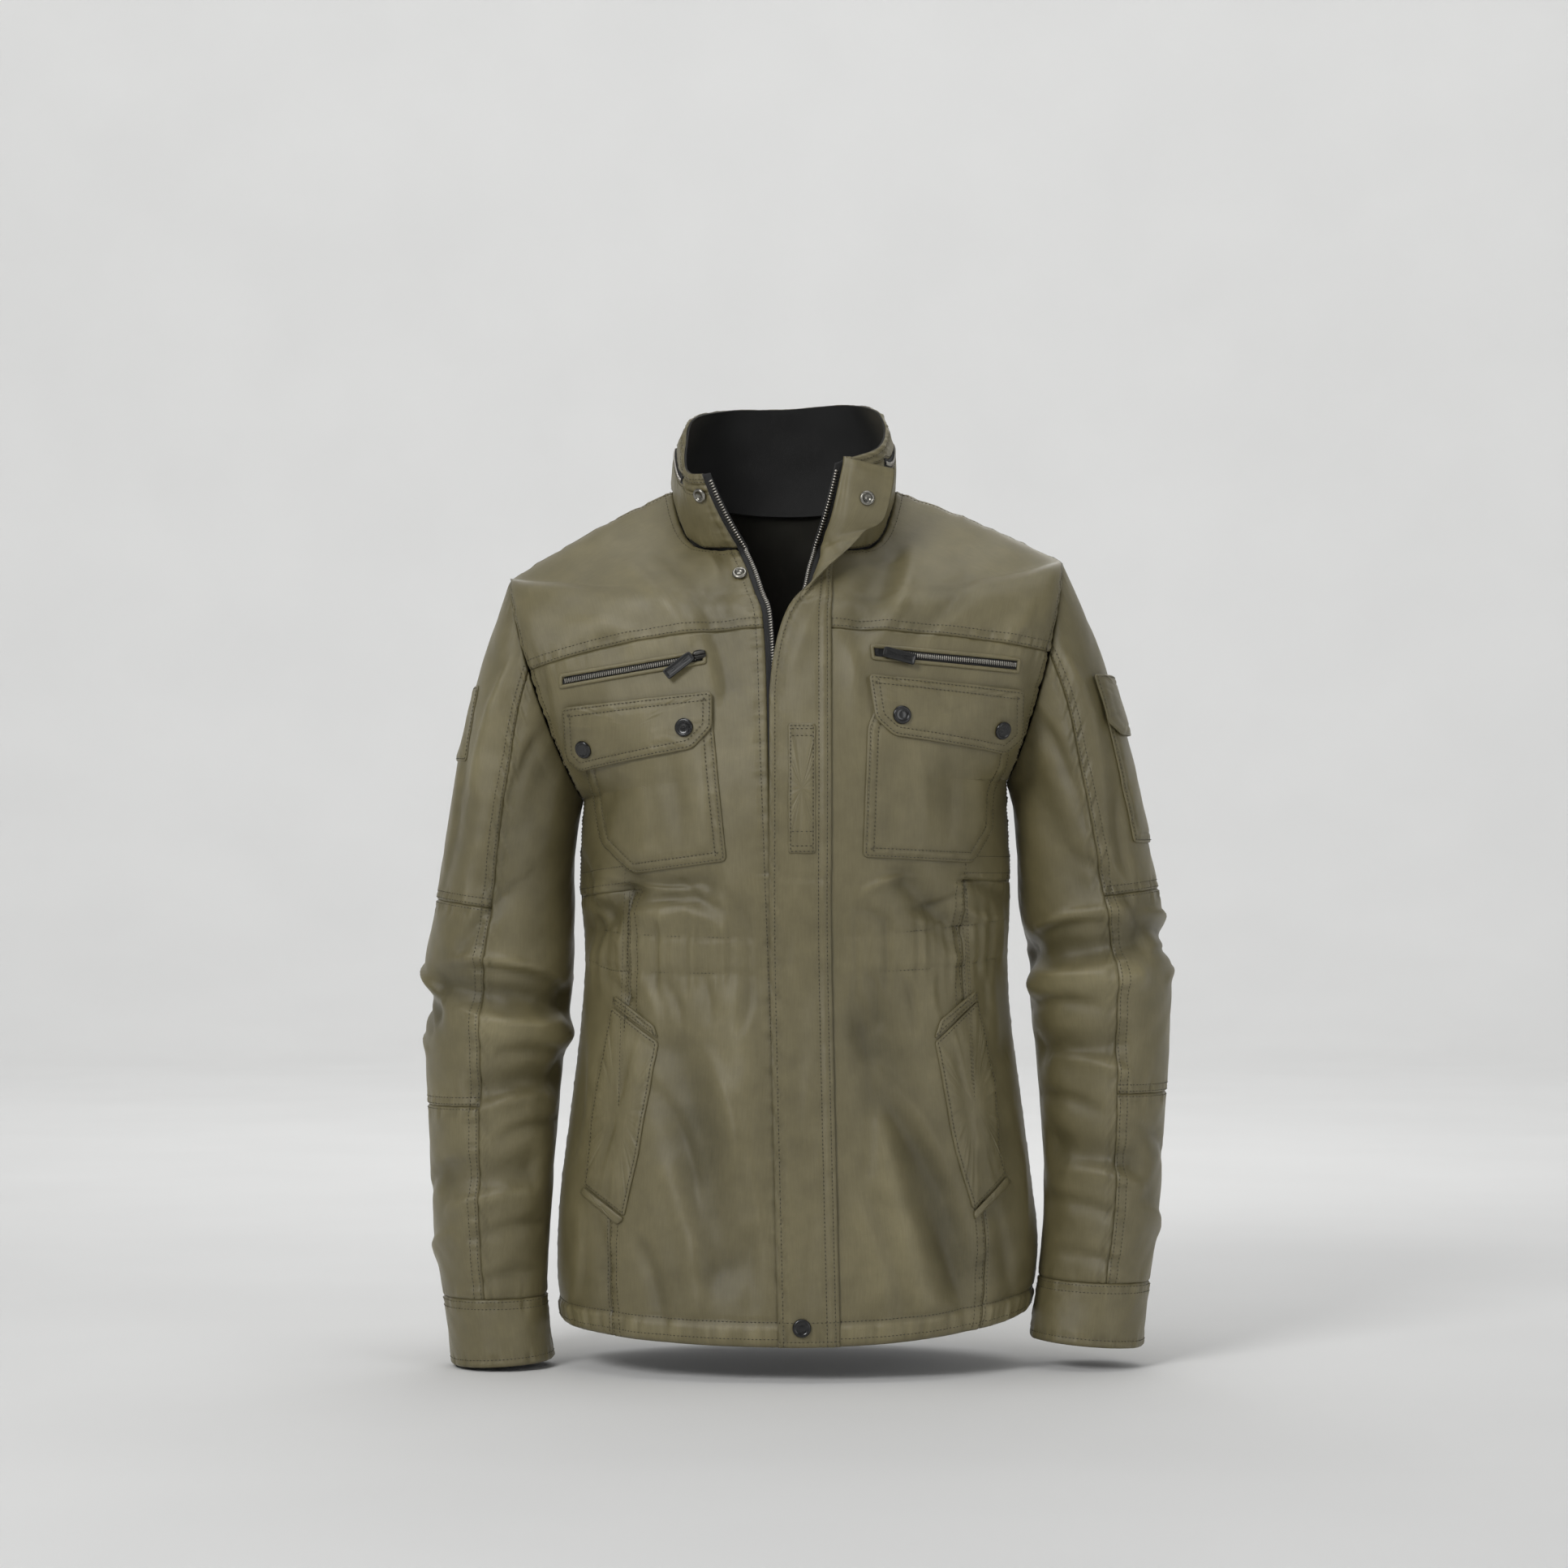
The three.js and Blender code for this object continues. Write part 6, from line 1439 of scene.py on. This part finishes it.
# %% Shader expressions
class Value:
    """A number that varies over the surface. Operators add Math nodes and give a new Value."""

    def __init__(self, shader, socket):
        self.shader, self.socket = shader, socket

    def _math(self, operation, *inputs):
        sockets = {i: v.socket if isinstance(v, Value) else v for i, v in enumerate(inputs)}
        return Value(self.shader, self.shader.add("ShaderNodeMath", {"operation": operation}, sockets).outputs[0])

    def __add__(self, other): return self._math("ADD", self, other)
    def __sub__(self, other): return self._math("SUBTRACT", self, other)
    def __mul__(self, other): return self._math("MULTIPLY", self, other)
    def sine(self): return self._math("SINE", self)
    def at_most(self, other): return self._math("MINIMUM", self, other)
    def at_least(self, other): return self._math("MAXIMUM", self, other)


def linear(red, green, blue):
    """A colour as read from a screen, 0 to 255, turned into the linear values that Blender mixes."""
    return tuple(((c / 255 + 0.055) / 1.055) ** 2.4 if c > 10 else c / 3295 for c in (red, green, blue)) + (1.0,)


class Shader:
    """A material with one Principled shader. `add` makes any node: type, settings, then values or links."""

    def __init__(self, name, **constants):
        self.material = bpy.data.materials.new(name)
        self.material.use_nodes = True
        self.nodes, self.links = self.material.node_tree.nodes, self.material.node_tree.links
        self.nodes.clear()
        self.output = self.nodes.new("ShaderNodeOutputMaterial")
        self.principled = self.nodes.new("ShaderNodeBsdfPrincipled")
        self.links.new(self.principled.outputs[0], self.output.inputs[0])
        for socket, value in constants.items():
            self.principled.inputs[socket.replace("_", " ")].default_value = value
        self.place = self.add("ShaderNodeTexCoord")

    def add(self, kind, settings=None, inputs=None):
        node = self.nodes.new(kind)
        for key, value in (settings or {}).items():
            if key == "stops":
                ramp = node.color_ramp
                for k, (position, colour) in enumerate(value):
                    stop = ramp.elements[k] if k < 2 else ramp.elements.new(position)
                    stop.position, stop.color = position, colour
            else:
                setattr(node, key, value)
        for key, value in (inputs or {}).items():
            value = value.socket if isinstance(value, Value) else value
            if isinstance(value, bpy.types.NodeSocket):
                self.links.new(value, node.inputs[key])
            else:
                node.inputs[key].default_value = value
        return node

    def noise(self, vector, scale, detail=2.0, rough=0.5):
        inputs = {"Vector": vector, "Scale": scale, "Detail": detail, "Roughness": rough}
        return Value(self, self.add("ShaderNodeTexNoise", {}, inputs).outputs[0])

    def parts(self, vector):
        node = self.add("ShaderNodeSeparateXYZ", {}, {0: vector})
        return [Value(self, node.outputs[k]) for k in range(3)]

    def ramp(self, tone, *stops):
        """The base colour, by tone, from pairs of a position and a colour."""
        node = self.add("ShaderNodeValToRGB", {"stops": stops}, {0: tone})
        self.links.new(node.outputs[0], self.principled.inputs["Base Color"])

    def rough(self, value):
        self.links.new(value.socket, self.principled.inputs["Roughness"])

    def bump(self, height, strength, distance):
        node = self.add("ShaderNodeBump", {}, {"Height": height, "Strength": strength, "Distance": distance})
        self.links.new(node.outputs[0], self.principled.inputs["Normal"])


print("shader helpers ready")

# %% [markdown]
# The shell is a cotton and nylon twill with a soft satin sheen. Twill shows as fine diagonal ribs: here
# a sine across the diagonal of the piece's own cloth coordinates, cut into threads by a second sine.
# Worn twill is also uneven: cloudy in tone over a hand's breadth. Its colour also carries painted light from a point
# attribute of the mesh:
# a painted highlight, lighter on its ridges, and painted shade, darker in its folds.

# %% The cloth
def twill(name, dark, base, light, rough, ribs=8200.0, rib_share=0.45):
    shader = Shader(name, Sheen_Weight=0.18, Sheen_Roughness=0.3, Specular_IOR_Level=0.6)
    shader.principled.inputs["Sheen Tint"].default_value = linear(214, 204, 170)
    u, v, _ = shader.parts(shader.place.outputs["UV"])
    where = shader.place.outputs["Object"]
    wander = shader.noise(where, 90.0) * 0.9
    rib = ((u + v) * ribs + wander).sine()
    thread = ((u - v) * ribs * 1.9 + wander).sine()
    weave = rib * (1 - rib_share / 2) + thread * rib_share
    cloud = shader.noise(where, 7.0, 3.0, 0.55)
    wear = shader.noise(where, 46.0, 4.0, 0.6)
    along_thread = shader.add("ShaderNodeMapping", {}, {"Vector": shader.place.outputs["UV"], "Scale": (900, 60, 1)})
    slub = shader.noise(along_thread.outputs[0], 1.0, 2.0)
    # Painted shade: the mesh's fold attribute lightens the tone on ridges and darkens it in folds.
    fold_shade_and_edge_wear = Value(shader, shader.add("ShaderNodeAttribute", {"attribute_name": "fold_shade_and_edge_wear"}).outputs["Fac"])
    tone = (cloud - 0.5) * 0.55 + (wear - 0.5) * 0.4 + weave * 0.06 + (slub - 0.5) * 0.2 + fold_shade_and_edge_wear * 0.4 + 0.5
    shader.ramp(tone, (0.1, dark), (0.52, base), (0.95, light))
    shader.rough((cloud - 0.5) * 0.18 + weave * 0.03 + rough)
    shader.bump(weave * 0.5 + (slub - 0.5) * 0.8 + (wear - 0.5) * 1.2, 0.55, 0.00009)
    return shader.material


CLOTH_FACE = twill("satin_twill", linear(76, 70, 44), linear(108, 100, 70), linear(140, 131, 97), 0.4)
CLOTH_LINING = twill("lining_twill", linear(30, 29, 24), linear(44, 42, 34), linear(62, 59, 48), 0.7)
print("cloth:", len(CLOTH_FACE.node_tree.nodes), "nodes")

# %% [markdown]
# The facing inside the collar, the zip tapes and the metal parts are dark and plain by comparison.

# %% Facing, tape, metal and plastic
def ribbed(name, dark, light, rough, ribs, depth):
    shader = Shader(name, Sheen_Weight=0.1, Sheen_Roughness=0.5)
    u, v, _ = shader.parts(shader.place.outputs["UV"])
    rib, cross = (u * ribs).sine(), (v * ribs * 1.7).sine()
    fleck = shader.noise(shader.place.outputs["Object"], 300.0, 3.0)
    tone = rib * 0.28 + cross * 0.1 + (fleck - 0.5) * 0.8 + 0.5
    shader.ramp(tone, (0.15, dark), (0.9, light))
    shader.rough((fleck - 0.5) * 0.15 + rough)
    shader.bump(rib * 0.6 + cross * 0.2 + (fleck - 0.5) * 0.5, 0.6, depth)
    return shader.material


def hard(name, dark, light, rough, metallic=0.0, grain=900.0, coat=0.0):
    shader = Shader(name, Metallic=metallic, Coat_Weight=coat, Specular_IOR_Level=0.45)
    where = shader.place.outputs["Object"]
    fine, wide = shader.noise(where, grain, 3.0), shader.noise(where, grain / 9, 2.0)
    edge = Value(shader, shader.add("ShaderNodeNewGeometry").outputs["Pointiness"])
    fold_shade_and_edge_wear = ((edge - 0.52) * 8).at_least(0).at_most(1)
    tone = (fine - 0.5) * 0.5 + (wide - 0.5) * 0.7 + fold_shade_and_edge_wear * 0.5 + 0.4
    shader.ramp(tone, (0.1, dark), (0.9, light))
    shader.rough((wide - 0.5) * 0.2 + (fine - 0.5) * 0.12 + rough)
    shader.bump(fine * 0.7 + wide * 0.3, 0.25, 0.00004)
    return shader.material


FACING = twill("black_facing", linear(6, 6, 6), linear(12, 12, 12), linear(22, 22, 21), 0.8, ribs=9000.0)
TAPE = ribbed("black_zip_tape", linear(7, 7, 7), linear(22, 22, 22), 0.75, 5200.0, 0.00012)
TEETH = hard("gunmetal_teeth", linear(70, 68, 64), linear(170, 166, 158), 0.3, 0.9)
SLIDER = hard("dark_slider", linear(28, 28, 27), linear(78, 76, 72), 0.36, 0.85)
CAP = hard("black_snap_cap", linear(9, 9, 9), linear(30, 30, 30), 0.3, 0.2, coat=0.4)
RING = hard("steel_snap_ring", linear(96, 95, 90), linear(166, 163, 154), 0.3, 0.95)
TAB = hard("black_pull_tab", linear(10, 10, 10), linear(30, 30, 29), 0.45, 0.0, 500.0)
# The thread is olive, made darker than the cloth to stand in for the shadows in the stitch holes: painted shade.
THREAD_WITH_HOLE_SHADE = ribbed("olive_thread_painted_hole_shade", linear(44, 40, 25), linear(78, 72, 48), 0.6, 9000.0, 0.00005)
print(len(bpy.data.materials), "materials")

# %% [markdown]
# Every visible piece gets its finish by its kind.

# %% Finishes
def finish_of(piece):
    """The face's material and the one behind it. Where both sides can show, the cloth is the same on both."""
    name = piece.name
    if name.startswith("tape_"):
        return [TAPE, TAPE]
    if "facing" in name:
        return [FACING, FACING]
    if "storm_flap" in name or "collar_" in name:
        return [CLOTH_FACE, CLOTH_FACE]
    return [CLOTH_FACE, CLOTH_LINING]


for piece, size, area in CLOTH_PIECES:
    for material in finish_of(piece):
        piece.data.materials.append(material)

finishes = {"thread": THREAD_WITH_HOLE_SHADE, "teeth": TEETH, "cap": CAP, "ring": RING, "tab": TAB, "slider": SLIDER}
for piece, finish in HARD_PIECES:
    piece.data.materials.append(finishes[finish])
print(len(CLOTH_PIECES), "pieces of cloth declared")

# %% [markdown]
# Light for catalogue pictures of clothes is large and soft: a wide key from the upper left, a fill from
# the right, a rim from behind for the shoulders. The floor bends up into a pale round wall with a light
# of its own behind the jacket.

# %% Studio
def plain(name, colour, rough):
    shader = Shader(name, Roughness=rough)
    cloud = shader.noise(shader.place.outputs["Object"], 3.0, 2.0)
    low, high = (tuple(c * share for c in colour[:3]) + (1.0,) for share in (0.985, 1.015))
    shader.ramp(cloud, (0.3, low), (0.7, high))
    return shader.material


def bowl(radius, height, bend, floor_z, sides=96):
    """A floor that bends up into a round wall: flat, a quarter circle, upright, carried round the middle."""
    turn = np.linspace(0, math.pi / 2, 20)
    out = np.concatenate([[0.001, radius * 0.3], radius - bend + bend * np.sin(turn), [radius]])
    up = np.concatenate([[0, 0], bend - bend * np.cos(turn), [height]]) + floor_z
    round_ = np.linspace(0, 2 * math.pi, sides, endpoint=False)
    points = stack(out[:, None] * np.cos(round_), out[:, None] * np.sin(round_), up[:, None]) * 1000
    _, _, quads = ring_faces(len(out), sides)
    return make_mesh("studio_floor", points.reshape(-1, 3), quads[:, ::-1])


BOWL_RADIUS, BOWL_HEIGHT, BOWL_BEND, FLOOR_GAP = 6.4, 5.5, 1.8, 0.002
floor = bowl(BOWL_RADIUS, BOWL_HEIGHT, BOWL_BEND, cad_box[0][2] - FLOOR_GAP)
floor.data.materials.append(plain("backdrop_paint", linear(226, 226, 225), 0.85))


def softbox(name, place, aim, size, power):
    light = bpy.data.lights.new(name, "AREA")
    light.shape, light.size, light.size_y, light.energy = "RECTANGLE", size[0], size[1], power
    lamp = bpy.data.objects.new(name, light)
    lamp.location = place
    direction = np.array(aim, float) - np.array(place, float)
    across = math.atan2(direction[1], direction[0])
    down = math.atan2(math.hypot(direction[0], direction[1]), -direction[2])
    lamp.rotation_euler = (down, 0, across - math.pi / 2)
    bpy.context.collection.objects.link(lamp)


for light in (  # name, place, aim, size in metres and power in watts
        ("key_box", (-1.6, -2.7, 1.5), (0, 0, -0.3), (1.2, 1.2), 60),
        ("fill_box", (2.0, -2.4, 0.2), (0, 0, -0.35), (1.0, 1.6), 13),
        ("top_box", (0.1, -0.2, 2.0), (0, 0, -0.2), (1.4, 0.9), 14),
        ("rim_box", (0.3, 2.0, 1.2), (0, 0, -0.2), (1.6, 1.0), 9),
        ("wall_box", (0.0, 2.2, 3.2), (0, BOWL_RADIUS, -0.2), (5.0, 1.2), 125)):
    softbox(*light)
AIR_COLOUR, AIR_STRENGTH = (0.92, 0.93, 0.95, 1), 0.27
world = bpy.data.worlds.new("studio_air")
world.use_nodes = True
world.node_tree.nodes["Background"].inputs[0].default_value = AIR_COLOUR
world.node_tree.nodes["Background"].inputs[1].default_value = AIR_STRENGTH
bpy.context.scene.world = world
bpy.context.scene.view_settings.view_transform = "Standard"
